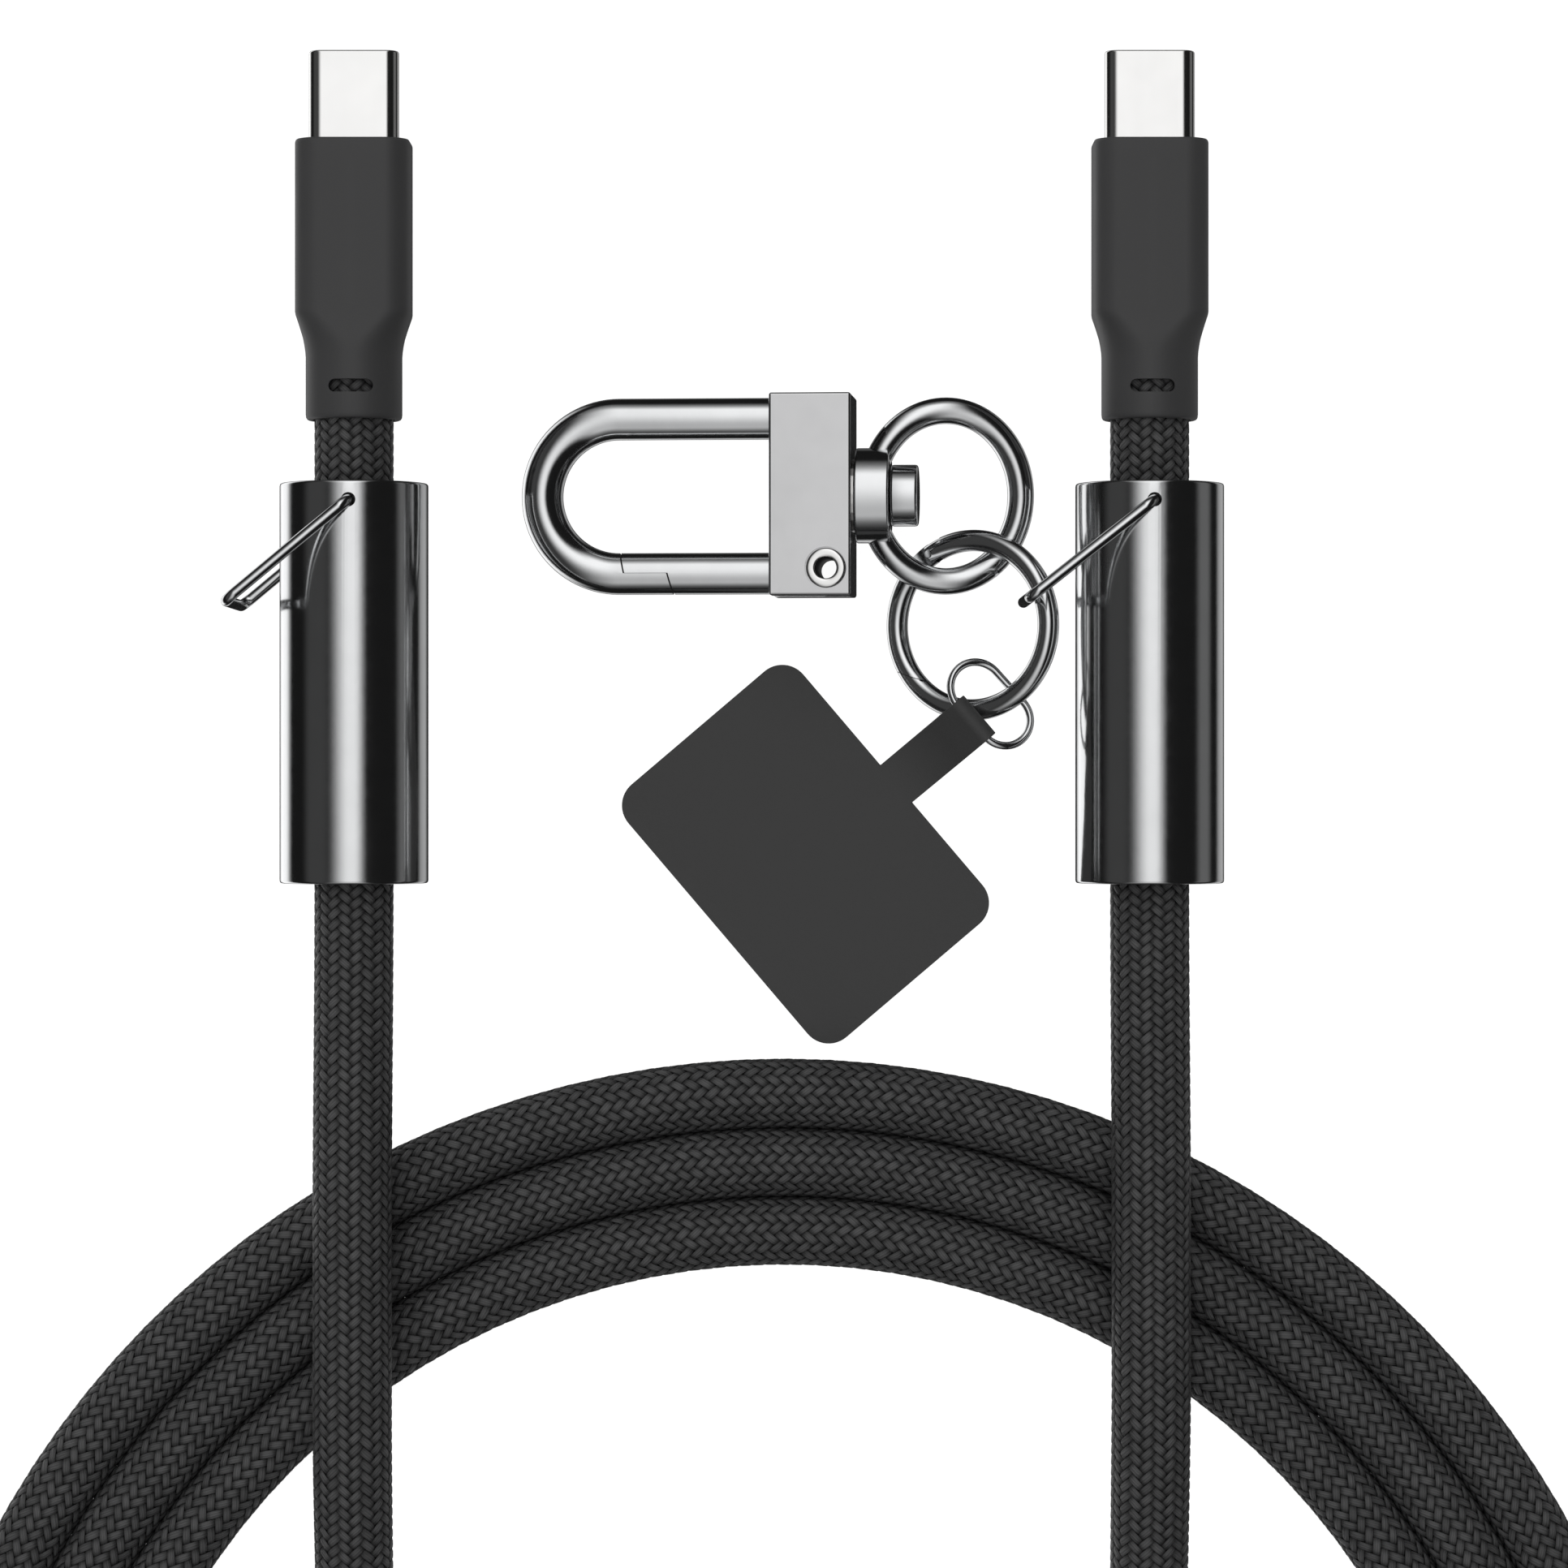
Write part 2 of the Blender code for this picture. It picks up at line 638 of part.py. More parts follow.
def swivel_ring():
    """The oval ring and its hub, one casting."""
    frame = clasp_frame()
    edge = 0.12 * MM
    profile = (
        (HUB_RADIUS - edge, -HUB_HALF),
        (HUB_BORE, -HUB_HALF),
        (HUB_BORE, HUB_HALF),
        (HUB_RADIUS - edge, HUB_HALF),
        (HUB_RADIUS, HUB_HALF - edge),
        (HUB_RADIUS, edge - HUB_HALF),
    )
    hub = turned("swivel_ring", tuple(reversed(profile)), gunmetal(), frame, 28, "X")
    ring_frame = Matrix.Translation(HUB_CENTRE) @ Matrix.Rotation(SWIVEL_TILT, 4, "Y")
    ring_frame = ring_frame @ Matrix.Rotation(SWIVEL_ROLL, 4, "X")
    start = pi - asin(2.9 * MM / SWIVEL_HALF[1])
    steps = 30
    path = []
    for k in range(steps + 1):
        t = start - 2 * start * k / steps
        path.append((SWIVEL_OFFSET + SWIVEL_HALF[0] * cos(t), SWIVEL_HALF[1] * sin(t), 0.0))
    ring = swept("swivel_ring_wire", path, SWIVEL_WIRE, gunmetal(), ring_frame, 14)
    cut(hub, ring, "UNION")


# ---------------------------------------------------------------- spring ring


def ring_frame():
    return Matrix.Translation(RING_CENTRE) @ Matrix.Rotation(RING_TILT, 4, "Y")


def ring_arc(name, start, end, steps, frame, about=(0.0, 0.0)):
    """A length of the spring ring's wire, as seen from a point in its plane."""
    points = arc((0.0, 0.0), RING_RADIUS, start, end, steps)
    path = [(x - about[0], y - about[1], 0.0) for x, y in points]
    return swept(name, path, RING_WIRE, gunmetal(), frame, 14)


def ring_pivot():
    return (RING_RADIUS * cos(GATE_FROM), RING_RADIUS * sin(GATE_FROM))


def split_outline(angle, gap, reach):
    """A slanting parting line across the ring's wire, closed off to one side. It leans the
    way that the gate's end moves as it opens, so that the end clears the body."""
    out = Vector((cos(angle), sin(angle)))
    along = Vector((-sin(angle), cos(angle)))
    spread = 1.4 * MM
    lean = SPLIT_LEAN * spread
    outer = out * (RING_RADIUS + spread) + along * (gap - lean)
    inner = out * (RING_RADIUS - spread) + along * (gap + lean)
    line = [outer, inner, inner + along * reach, outer + along * reach]
    return [(p.x, p.y) for p in line]


def spring_ring():
    """The sprung ring: a C-shaped body and a gate on its left side."""
    frame = ring_frame()
    pivot = ring_pivot()
    body = ring_arc("ring_body", GATE_TO - SPLIT_TURN, 2 * pi + GATE_FROM + 0.02, 34, frame)
    half_gap = 0.05 * MM
    body_side = split_outline(GATE_TO, half_gap, -4 * MM)
    cut(body, prism("body_split_cutter", body_side, -2 * MM, 2 * MM, gunmetal(), frame))
    cheek = 0.42 * MM
    fork_half = cheek + 0.1 * MM
    low = (pivot[0] - 1.5 * MM, pivot[1] - 1.5 * MM, -fork_half)
    high = (pivot[0] + 1.15 * MM, pivot[1] + 1.5 * MM, fork_half)
    cut(body, box("ring_fork_cutter", low, high, gunmetal(), frame))
    cut(body, bar("ring_pin_cutter", 0.42 * MM, -2 * MM, 2 * MM, "Z", (*pivot, 0), frame, 12))
    gate_frame = frame @ Matrix.Translation((*pivot, 0.0))
    gate = ring_arc("ring_gate", GATE_FROM - 0.02, GATE_TO + SPLIT_TURN, 16, gate_frame, pivot)
    gate_side = split_outline(GATE_TO, -half_gap, 4 * MM)
    outline = [(x - pivot[0], y - pivot[1]) for x, y in gate_side]
    cut(gate, prism("gate_split_cutter", outline, -2 * MM, 2 * MM, gunmetal(), gate_frame))
    for sign in (-1, 1):
        near, far = sorted((sign * cheek, sign * 2 * MM))
        flat = bar(f"tongue_cutter_{sign + 1}", 1.75 * MM, near, far, "Z", (0, 0, 0), gate_frame, 20)
        cut(gate, flat)
    cut(gate, bar("gate_pin_cutter", 0.42 * MM, -2 * MM, 2 * MM, "Z", (0, 0, 0), gate_frame, 12))
    pin = bar("ring_gate_pin", 0.34 * MM, -0.95 * MM, 0.95 * MM, "Z", (0, 0, 0), gate_frame, 12)
    pin.data.materials.clear()
    pin.data.materials.append(gunmetal())


# ---------------------------------------------------------------- link ring and tab


def link_frame():
    turn = Matrix.Rotation(LINK_TURN, 4, "Z") @ Matrix.Rotation(-LINK_SLOPE, 4, "X")
    return Matrix.Translation(LINK_CENTRE) @ turn


def link_ring():
    """The thin oval ring: two straight legs and two half circles."""
    r = LINK_HALF_WIDTH
    run = LINK_HALF_LENGTH - r
    points = arc((run, 0.0), r, -pi / 2, pi / 2, 8) + arc((-run, 0.0), r, pi / 2, 1.5 * pi, 8)
    swept("link_ring", [(x, y, 0.0) for x, y in points], LINK_WIRE, gunmetal(), link_frame(), 8, True)


def leg_centre():
    """The middle of the link ring's leg that carries the tab."""
    return link_frame() @ Vector((0.0, -LINK_HALF_WIDTH, 0.0))


def tether_tab():
    """The cut sheet: a patch on the surface and a tongue that rises, loops and laps."""
    leg = leg_centre()
    turn = Matrix.Rotation(LINK_TURN, 4, "Z")
    frame = Matrix.Translation((TAB_CENTRE.x, TAB_CENTRE.y, TAB_LIFT)) @ turn
    outline = rounded_outline(TAB_SIZE[0] / 2, TAB_SIZE[1] / 2, TAB_CORNER, 5)
    patch = prism("tether_tab", outline, 0.0, TAB_THICK, moulding(), frame)
    leg_at = frame.inverted() @ leg
    half = TONGUE_WIDTH / 2
    profile = tongue_profile(leg_at.y, leg_at.z)
    loops = [[Vector((leg_at.x + s * half, y, z)) for y, z in profile] for s in (-1, 1)]
    cut(patch, loft("tongue_shape", loops, moulding(), frame), "UNION")


def tongue_profile(leg_y, leg_z):
    """The tongue seen from its side: a strip up to the leg, round it and back under. The
    bore for the leg narrows to a fine slit, the line where the lap meets the strip."""
    inner = LOOP_BORE
    outer = LOOP_BORE + TAB_THICK
    slit = 0.06 * MM
    root = TAB_SIZE[1] / 2
    rise = atan2(leg_z - TAB_THICK, leg_y - root - 0.2 * MM)
    ahead = Vector((cos(rise), sin(rise)))
    up = Vector((-sin(rise), cos(rise)))
    leg = Vector((leg_y, leg_z))
    round_leg = [pi * k / 8 - pi / 2 for k in range(9)]
    spokes = [cos(t) * ahead + sin(t) * up for t in round_leg]
    wrap = [leg + outer * spoke for spoke in reversed(spokes)]
    bore = [leg + inner * spoke for spoke in spokes]
    throat = leg - ahead * 1.9 * MM
    lap_end = leg - outer * up - ahead * (LAP_LENGTH - 0.6 * MM)
    points = [
        Vector((root - 0.3 * MM, 0.0)),
        Vector((root - 0.3 * MM, TAB_THICK)),
        leg + outer * up - ahead * 3.0 * MM,
        *wrap,
        lap_end,
        lap_end + up * TAB_THICK,
        throat - up * slit - ahead * 0.9 * MM,
        throat - up * slit,
        bore[0] - ahead * 0.6 * MM,
        *bore[1:],
        leg + inner * up - ahead * 1.0 * MM,
        throat + up * slit,
        throat - ahead * 1.9 * MM + up * 0.04 * MM,
        Vector((root + 0.55 * MM, 0.0)),
    ]
    return [(p.x, p.y) for p in points]


# ---------------------------------------------------------------- cord


def smooth_path(points, step):
    """Points every step along a smooth curve through the given ones."""
    points = [Vector(p) for p in points]
    ends = [2 * points[0] - points[1], *points, 2 * points[-1] - points[-2]]
    fine = []
    for a, b, c, d in zip(ends, ends[1:], ends[2:], ends[3:]):
        for k in range(16):
            t = k / 16
            blend = (-a + c) * t + (2 * a - 5 * b + 4 * c - d) * t**2 + (-a + 3 * b - 3 * c + d) * t**3
            fine.append(b + 0.5 * blend)
    fine.append(points[-1])
    length = sum((q - p).length for p, q in zip(fine, fine[1:]))
    count = max(2, round(length / step))
    even, walked, target = [fine[0]], 0.0, length / count
    for p, q in zip(fine, fine[1:]):
        gap = (q - p).length
        while gap > 0 and walked + gap >= target * len(even) and len(even) < count:
            even.append(p.lerp(q, (target * len(even) - walked) / gap))
        walked += gap
    return [*even, fine[-1]]


def cord_run(side, route):
    """A round tube along the part of the cord that isn't coiled."""
    points = smooth_path(route, 2.0 * RUN_DIAMETER)
    curve = bpy.data.curves.new(f"cord_run_{side}", "CURVE")
    curve.dimensions = "3D"
    curve.bevel_depth = 1.0
    curve.bevel_resolution = 3
    curve.use_fill_caps = True
    spline = curve.splines.new("POLY")
    spline.points.add(len(points) - 1)
    for i, p in enumerate(points):
        spline.points[i].co = (*p, 1.0)
        spline.points[i].radius = cord_radius(i / (len(points) - 1))
    thing = bpy.data.objects.new(f"cord_run_{side}", curve)
    curve.materials.append(braid())
    bpy.context.scene.collection.objects.link(thing)


def cord_radius(share):
    """Half the cord's thickness: full at the plug, a little less where it is coiled."""
    ease = min(1.0, max(0.0, (share - 0.55) / 0.4))
    return (RUN_DIAMETER + (COIL_DIAMETER - RUN_DIAMETER) * ease) / 2


def plug_cord_points(side):
    """The shared start of both runs: out of the plug, through the barrel, level."""
    x = AXIS_X[side]
    levels = ((CORD_SEAT, 0.0), (-14 * MM, 0.0), (-34 * MM, 0.0), (-50 * MM, 0.15))
    return [(x, NECK_END_Y + y, AXIS_Z + s * (CROSSING_Z - AXIS_Z)) for y, s in levels]


def left_route():
    """Over the coil's far side, down inside it, and round to its inner edge."""
    x = AXIS_X["left"]
    low = RUN_DIAMETER / 2
    return [
        *plug_cord_points("left"),
        (x, -57 * MM, CROSSING_Z),
        (x, -70 * MM, CROSSING_Z),
        (x, -83 * MM, CROSSING_Z),
        (x, -97 * MM, 7.8 * MM),
        (x, -113 * MM, 4.6 * MM),
        (x, -129 * MM, low),
        (x + 0.1 * MM, -146 * MM, low),
        (x + 1.3 * MM, -162 * MM, low),
        (x + 6.8 * MM, -176.5 * MM, low),
        (x + 15.0 * MM, -186.8 * MM, low),
    ]


def right_route():
    """Over the coil's far side, down inside it, and up over its near side."""
    x = AXIS_X["right"]
    low = RUN_DIAMETER / 2
    return [
        *plug_cord_points("right"),
        (x, -56 * MM, CROSSING_Z),
        (x, -68 * MM, CROSSING_Z),
        (x, -80 * MM, CROSSING_Z),
        (x, -94 * MM, 7.8 * MM),
        (x, -110 * MM, 4.6 * MM),
        (x, -127 * MM, low),
        (x, -144 * MM, low),
        (x - 1.2 * MM, -160 * MM, low + 0.5 * MM),
        (x - 5.4 * MM, -174 * MM, low + 3.0 * MM),
        (x - 13.0 * MM, -186 * MM, CROSSING_Z - 0.6 * MM),
        (x - 23.0 * MM, -195.5 * MM, CROSSING_Z),
        (x - 34.0 * MM, -202.5 * MM, CROSSING_Z),
        (x - 43.0 * MM, -206.3 * MM, CROSSING_Z - 0.1 * MM),
    ]


def cord_coil():
    """The three turns of the coil as one turned ring with a rounded section."""
    half_x = (COIL_TURNS * COIL_PITCH) / 2
    half_z = COIL_DIAMETER / 2
    frame = Matrix.Translation((COIL_CENTRE.x, COIL_CENTRE.y, half_z))
    outline = rounded_outline(half_x, half_z, half_z * 0.98, 3)
    profile = [(COIL_RADIUS + x, z) for x, z in outline]
    turned("cord_coil", profile, braid(), frame, 56, "Z")


def build():
    start_clean()
    for side in ("left", "right"):
        plug_shell(side)
        contact_insulator(side)
        contact_comb(side, "upper")
        contact_comb(side, "lower")
        latch_spring(side)
        paddle_card(side)
        shield_can(side)
        inner_mould(side)
        crimp_ferrule(side)
        wires(side)
        overmould(side)
        barrel(side)
        bail(side)
    clasp_body()
    clasp_hook()
    clasp_gate()
    gate_pin()
    gate_spring()
    swivel_rivet()
    swivel_washer()
    swivel_ring()
    spring_ring()
    link_ring()
    tether_tab()
    cord_run("left", left_route())
    cord_run("right", right_route())
    cord_coil()


build()
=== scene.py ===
# %% [markdown]
# # A braided charging cable with barrels and charms
# The cable has a plug at each end, a metal barrel that slides on each end, and a chain of
# charms on the right barrel: a spring ring, a snap clasp, a small link ring and a tether tab.
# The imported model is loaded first. It holds every part at its true place and never moves.

import json
from math import asin, atan2, cos, pi, radians, sin

import bmesh
import bpy
import numpy as np
from mathutils import Matrix, Vector

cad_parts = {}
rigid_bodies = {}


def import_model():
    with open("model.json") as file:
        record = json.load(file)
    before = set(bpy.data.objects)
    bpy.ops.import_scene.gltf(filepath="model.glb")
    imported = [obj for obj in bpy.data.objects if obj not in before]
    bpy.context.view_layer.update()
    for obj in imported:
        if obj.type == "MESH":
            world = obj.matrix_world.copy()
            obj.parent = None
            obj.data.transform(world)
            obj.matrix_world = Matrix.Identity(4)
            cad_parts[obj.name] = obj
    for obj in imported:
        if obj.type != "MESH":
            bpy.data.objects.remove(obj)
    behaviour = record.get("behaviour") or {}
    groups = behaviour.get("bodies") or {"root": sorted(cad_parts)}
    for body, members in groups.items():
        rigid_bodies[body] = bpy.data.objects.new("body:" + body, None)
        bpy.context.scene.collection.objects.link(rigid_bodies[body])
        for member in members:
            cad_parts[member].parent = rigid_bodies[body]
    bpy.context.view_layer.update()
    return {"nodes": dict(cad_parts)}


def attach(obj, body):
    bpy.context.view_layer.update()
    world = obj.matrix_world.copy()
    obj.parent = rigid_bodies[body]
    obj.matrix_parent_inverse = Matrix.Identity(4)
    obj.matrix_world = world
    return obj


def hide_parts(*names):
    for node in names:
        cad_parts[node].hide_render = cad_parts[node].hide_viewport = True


MM = 0.001
for old in list(bpy.data.objects):
    bpy.data.objects.remove(old, do_unlink=True)
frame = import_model()

# %% [markdown]
# ## The camera
# It looks straight down, from half a metre above the parts, through a long lens. A long lens
# keeps the two plugs parallel and shows their sides only a little.

# %% Camera
CAMERA_AT = (5.4 * MM, -21.65 * MM, 510 * MM)
LENS = 124.4

lens = bpy.data.cameras.new("camera")
lens.lens = LENS
lens.sensor_width = 36.0
lens.clip_start = 0.01
camera = bpy.data.objects.new("camera", lens)
camera.location = CAMERA_AT
bpy.context.scene.collection.objects.link(camera)
bpy.context.scene.camera = camera
print("camera at", CAMERA_AT, "lens", LENS)

# %% [markdown]
# ## Nodes written as sums
# A finish or a Geometry Nodes tree needs many small Math nodes. Wrapping a socket in a class
# with +, -, * and so on lets a tree be written as an ordinary expression, and each operator
# adds its own Math node. One method adds any other node: its settings first, because they can
# change its sockets, and then its sockets.


# %% Bench and Value
class Bench:
    """A node tree and a short way to add to it."""

    def __init__(self, tree):
        self.tree = tree

    def node(self, kind, settings=None, sockets=None):
        made = self.tree.nodes.new(kind)
        for name, setting in (settings or {}).items():
            if name == "stops":
                self.set_stops(made.color_ramp, setting)
            else:
                setattr(made, name, setting)
        for name, value in (sockets or {}).items():
            self.feed(made.inputs[name], value)
        return made

    def set_stops(self, ramp, stops):
        while len(ramp.elements) < len(stops):
            ramp.elements.new(0.5)
        for element, (place, grey) in zip(ramp.elements, stops):
            element.position = place
            element.color = (grey, grey, grey, 1.0) if isinstance(grey, float) else (*grey, 1.0)

    def feed(self, socket, value):
        if isinstance(value, Value):
            value = value.socket
        if isinstance(value, bpy.types.NodeSocket):
            self.tree.links.new(value, socket)
        else:
            socket.default_value = value

    def value(self, socket):
        return Value(self, socket)


class Value:
    """A number on a socket, with Math nodes behind its operators."""

    def __init__(self, bench, socket):
        self.bench = bench
        self.socket = socket

    def maths(self, operation, *others, first=True):
        terms = [self, *others] if first else [*others, self]
        made = self.bench.node("ShaderNodeMath", {"operation": operation}, dict(enumerate(terms)))
        return Value(self.bench, made.outputs[0])

    def __add__(self, other):
        return self.maths("ADD", other)

    def __radd__(self, other):
        return self.maths("ADD", other)

    def __sub__(self, other):
        return self.maths("SUBTRACT", other)

    def __rsub__(self, other):
        return self.maths("SUBTRACT", other, first=False)

    def __mul__(self, other):
        return self.maths("MULTIPLY", other)

    def __rmul__(self, other):
        return self.maths("MULTIPLY", other)

    def __truediv__(self, other):
        return self.maths("DIVIDE", other)

    def __rtruediv__(self, other):
        return self.maths("DIVIDE", other, first=False)

    def __pow__(self, other):
        return self.maths("POWER", other)

    def __mod__(self, other):
        return self.maths("FLOORED_MODULO", other)

    def floor(self):
        return self.maths("FLOOR")

    def size(self):
        return self.maths("ABSOLUTE")

    def sine(self):
        return self.maths("SINE")

    def cosine(self):
        return self.maths("COSINE")

    def step(self, low, high):
        """0 below low, 1 above high, and smooth between."""
        sockets = {"Value": self, "From Min": low, "From Max": high}
        made = self.bench.node("ShaderNodeMapRange", {"interpolation_type": "SMOOTHSTEP"}, sockets)
        return Value(self.bench, made.outputs[0])


# %% [markdown]
# ## The studio
# Polished metal shows little but what stands around it, so the room is drawn in the world: a
# long soft panel overhead, near darkness round the sides, a dim strip to the right, and white
# again low on the left. A separate wide lamp lights the dark plastics and the braid, and metal
# doesn't reflect it. The floor is plain and pale and glows a little, so that shadows stay weak.


# %% Studio
def studio_world():
    world = bpy.data.worlds.new("studio")
    world.use_nodes = True
    bench = Bench(world.node_tree)
    world.node_tree.nodes.clear()
    look = bench.node("ShaderNodeTexCoord").outputs["Generated"]
    parts = bench.node("ShaderNodeSeparateXYZ", None, {0: look})
    x, y, z = (bench.value(parts.outputs[k]) for k in range(3))
    panel = x.step(-0.62, -0.05) * (1 - x.step(0.08, 0.42)) * 1.4
    panel = panel * (0.48 + 0.52 * y.step(-0.7, 0.5))
    panel = panel * (1 - y.size().step(0.75, 1.05)) * z.step(-0.1, 0.15)
    left_glow = (1 - x.step(-0.75, -0.4)) * z.step(0.1, 0.4) * 0.05
    strip = x.step(0.8, 0.93) * (1 - z.size().step(0.1, 0.35)) * 0.15
    down = 0 - z
    below = down.step(0.3, 0.62) * (1 - x.step(-0.6, -0.25)) * 1.35
    below = below + down.step(0.5, 0.7) * x.step(0.25, 0.6) * 0.4
    below = below + down.step(0.7, 0.86) * (0.1 + 0.6 * (1 - y.step(-0.45, -0.15)))
    below = below * (1 - down.step(0.9, 0.97))
    room = panel + left_glow + strip + below + 0.012
    tint = bench.node("ShaderNodeCombineColor", None, {0: room, 1: room, 2: room})
    light = bench.node("ShaderNodeBackground", None, {"Color": tint.outputs[0], "Strength": 1.0})
    bench.node("ShaderNodeOutputWorld", None, {"Surface": light.outputs[0]})
    bpy.context.scene.world = world


def wide_lamp(name, place, size, watts):
    """A big soft lamp that looks at the parts and isn't mirrored in metal."""
    lamp = bpy.data.lights.new(name, "AREA")
    lamp.shape = "SQUARE"
    lamp.size = size
    lamp.energy = watts
    thing = bpy.data.objects.new(name, lamp)
    thing.location = place
    aim = Vector((0, -0.05, 0)) - Vector(place)
    thing.rotation_euler = aim.to_track_quat("-Z", "Y").to_euler()
    thing.visible_glossy = False
    bpy.context.scene.collection.objects.link(thing)


def pale_floor():
    mesh = bpy.data.meshes.new("floor")
    half = 3.0
    corners = [(-half, -half, 0), (half, -half, 0), (half, half, 0), (-half, half, 0)]
    mesh.from_pydata(corners, [], [(0, 1, 2, 3)])
    paper = bpy.data.materials.new("floor_paper")
    paper.use_nodes = True
    bench = Bench(paper.node_tree)
    shader = paper.node_tree.nodes["Principled BSDF"]
    grain = bench.node("ShaderNodeTexNoise", None, {"Scale": 400.0, "Detail": 2.0})
    tone = bench.value(grain.outputs[0]) * 0.01 + 0.22
    colour = bench.node("ShaderNodeCombineColor", None, {0: tone, 1: tone, 2: tone})
    bench.feed(shader.inputs["Base Color"], colour.outputs[0])
    shader.inputs["Roughness"].default_value = 0.9
    shader.inputs["Specular IOR Level"].default_value = 0.0
    shader.inputs["Emission Color"].default_value = (1, 1, 1, 1)
    shader.inputs["Emission Strength"].default_value = 0.95
    mesh.materials.append(paper)
    floor = bpy.data.objects.new("floor", mesh)
    floor.visible_glossy = False
    bpy.context.scene.collection.objects.link(floor)


studio_world()
wide_lamp("overhead", (0.1, 0.1, 1.5), 4.0, 19.0)
wide_lamp("left_side", (-1.2, 0.2, 0.7), 0.8, 3.0)
pale_floor()
bpy.context.scene.view_settings.view_transform = "Standard"

# %% [markdown]
# ## The cord's line
# A free cord is one long smooth line of a fixed length. It leaves the left plug, goes through
# the left barrel, crosses over the far side of the coil, drops inside it and joins the
# innermost turn. Nearly three turns later it climbs over the near side and comes back through
# the right barrel. A few points are joined by a Catmull-Rom curve, as a hand would draw it.

# %% Cord route
AXIS_X = {"left": -34.4, "right": 39.25}  # millimetres from here to the cord's end
AXIS_Z = 8.4
NECK_END_Y = 12.0
RUN_RADIUS = 3.65
COIL_RADIUS = 3.225
LYING_Z, CROSSING_Z = 3.65, 10.4
COIL_CENTRE = (5.4, -131.15)
FIRST_TURN, TURN_GAP = 67.8, 6.4
START = [(0, 18.6, AXIS_Z), (0, -2, AXIS_Z), (0, -22, AXIS_Z), (0, -38, 8.7)]
LEFT_RUN = [(0, -57, CROSSING_Z), (0, -70, CROSSING_Z), (0, -83, CROSSING_Z)]
LEFT_RUN += [(0, -97, 7.8), (0, -113, 4.6), (0, -129, LYING_Z), (0.1, -146, LYING_Z)]
LEFT_RUN += [(1.3, -162, LYING_Z), (6.8, -176.5, LYING_Z), (15, -186.8, LYING_Z), (26, -194.6, 3.5)]
RIGHT_RUN = [(0, -56, CROSSING_Z), (0, -68, CROSSING_Z), (0, -80, CROSSING_Z)]
RIGHT_RUN += [(0, -94, 7.8), (0, -110, 4.6), (0, -127, LYING_Z), (0, -144, LYING_Z)]
RIGHT_RUN += [(-1.2, -160, 4.15), (-5.4, -174, 6.65), (-13, -186, 9.8)]
RIGHT_RUN += [(-23, -195.5, CROSSING_Z), (-34, -202.5, CROSSING_Z), (-43, -206.3, 10.3)]


def ease(share):
    share = min(max(share, 0.0), 1.0)
    return share * share * (3 - 2 * share)


def coil_points():
    """Nearly three turns, each change of lane and the climb out on the coil's near side."""
    middle_x, middle_y = COIL_CENTRE
    points = []
    for turn in range(-90, 976, 12):
        lanes = ease((turn - 200) / 55) + ease((turn - 560) / 55)
        radius = FIRST_TURN + TURN_GAP * lanes - 4.9 * ease((turn - 948) / 35)
        height = 3.3 + 7.0 * ease((turn - 900) / 48)
        x, y = radius * cos(radians(turn)), radius * sin(radians(turn))
        points.append((middle_x + x, middle_y + y, height))
    return points


def smooth_line(points, step):
    """Evenly spaced points on a smooth curve through the given ones, and its length."""
    points = np.array(points, float)
    ends = np.vstack([2 * points[0] - points[1], points, 2 * points[-1] - points[-2]])
    fine = []
    share = np.linspace(0, 1, 24, endpoint=False)[:, None]
    for a, b, c, d in zip(ends, ends[1:], ends[2:], ends[3:]):
        bend = (2 * a - 5 * b + 4 * c - d) * share**2 + (3 * b - a - 3 * c + d) * share**3
        fine.append(b + 0.5 * ((c - a) * share + bend))
    fine = np.vstack([*fine, points[-1:]])
    walked = np.concatenate([[0], np.cumsum(np.linalg.norm(np.diff(fine, axis=0), axis=1))])
    at = np.linspace(0, walked[-1], int(walked[-1] / step) + 1)
    return np.stack([np.interp(at, walked, fine[:, k]) for k in range(3)], axis=1), walked[-1]


def placed(side, run):
    return [(AXIS_X[side] + x, y, z) for x, y, z in START + run]


route = placed("left", LEFT_RUN) + coil_points() + placed("right", RIGHT_RUN)[::-1]
line, cord_length = smooth_line(route, 4.0)
print(f"cord {cord_length:.0f} mm long, {len(line)} points")

# %% [markdown]
# ## The cord's inside
# Under the braid lies a plain round tube, a little thinner than the cord, so that no light
# shows between the yarns; its near-black finish is painted shade for the gaps between them.
# The cord is 7.3 mm thick at the plugs and 6.45 mm in the coil, where the braid is drawn
# tighter.

# %% Cord radius and core
RUN_END, COIL_FROM = 95.0, 190.0  # millimetres along the cord from either plug
BRAID_DEPTH = 0.42


def cord_radius(at):
    """Half the cord's thickness, at a distance along it."""
    near = min(at, cord_length - at)
    return RUN_RADIUS + (COIL_RADIUS - RUN_RADIUS) * ease((near - RUN_END) / (COIL_FROM - RUN_END))


def curve_along(name, points, radii):
    """A curve through the points; each keeps its own radius."""
    curve = bpy.data.curves.new(name, "CURVE")
    curve.dimensions = "3D"
    curve.twist_mode = "Z_UP"
    spline = curve.splines.new("POLY")
    spline.points.add(len(points) - 1)
    for knot, place, radius in zip(spline.points, points, radii):
        knot.co = (*(Vector(place) * MM), 1.0)
        knot.radius = radius * MM
    thing = bpy.data.objects.new(name, curve)
    bpy.context.scene.collection.objects.link(thing)
    return thing


distances = np.linspace(0, cord_length, len(line))
core_radii = [cord_radius(at) - BRAID_DEPTH for at in distances]
cord_core = curve_along("cord_core", line, core_radii)
cord_core.data.bevel_depth = 1.0
cord_core.data.bevel_resolution = 4
cord_core.data.use_fill_caps = True

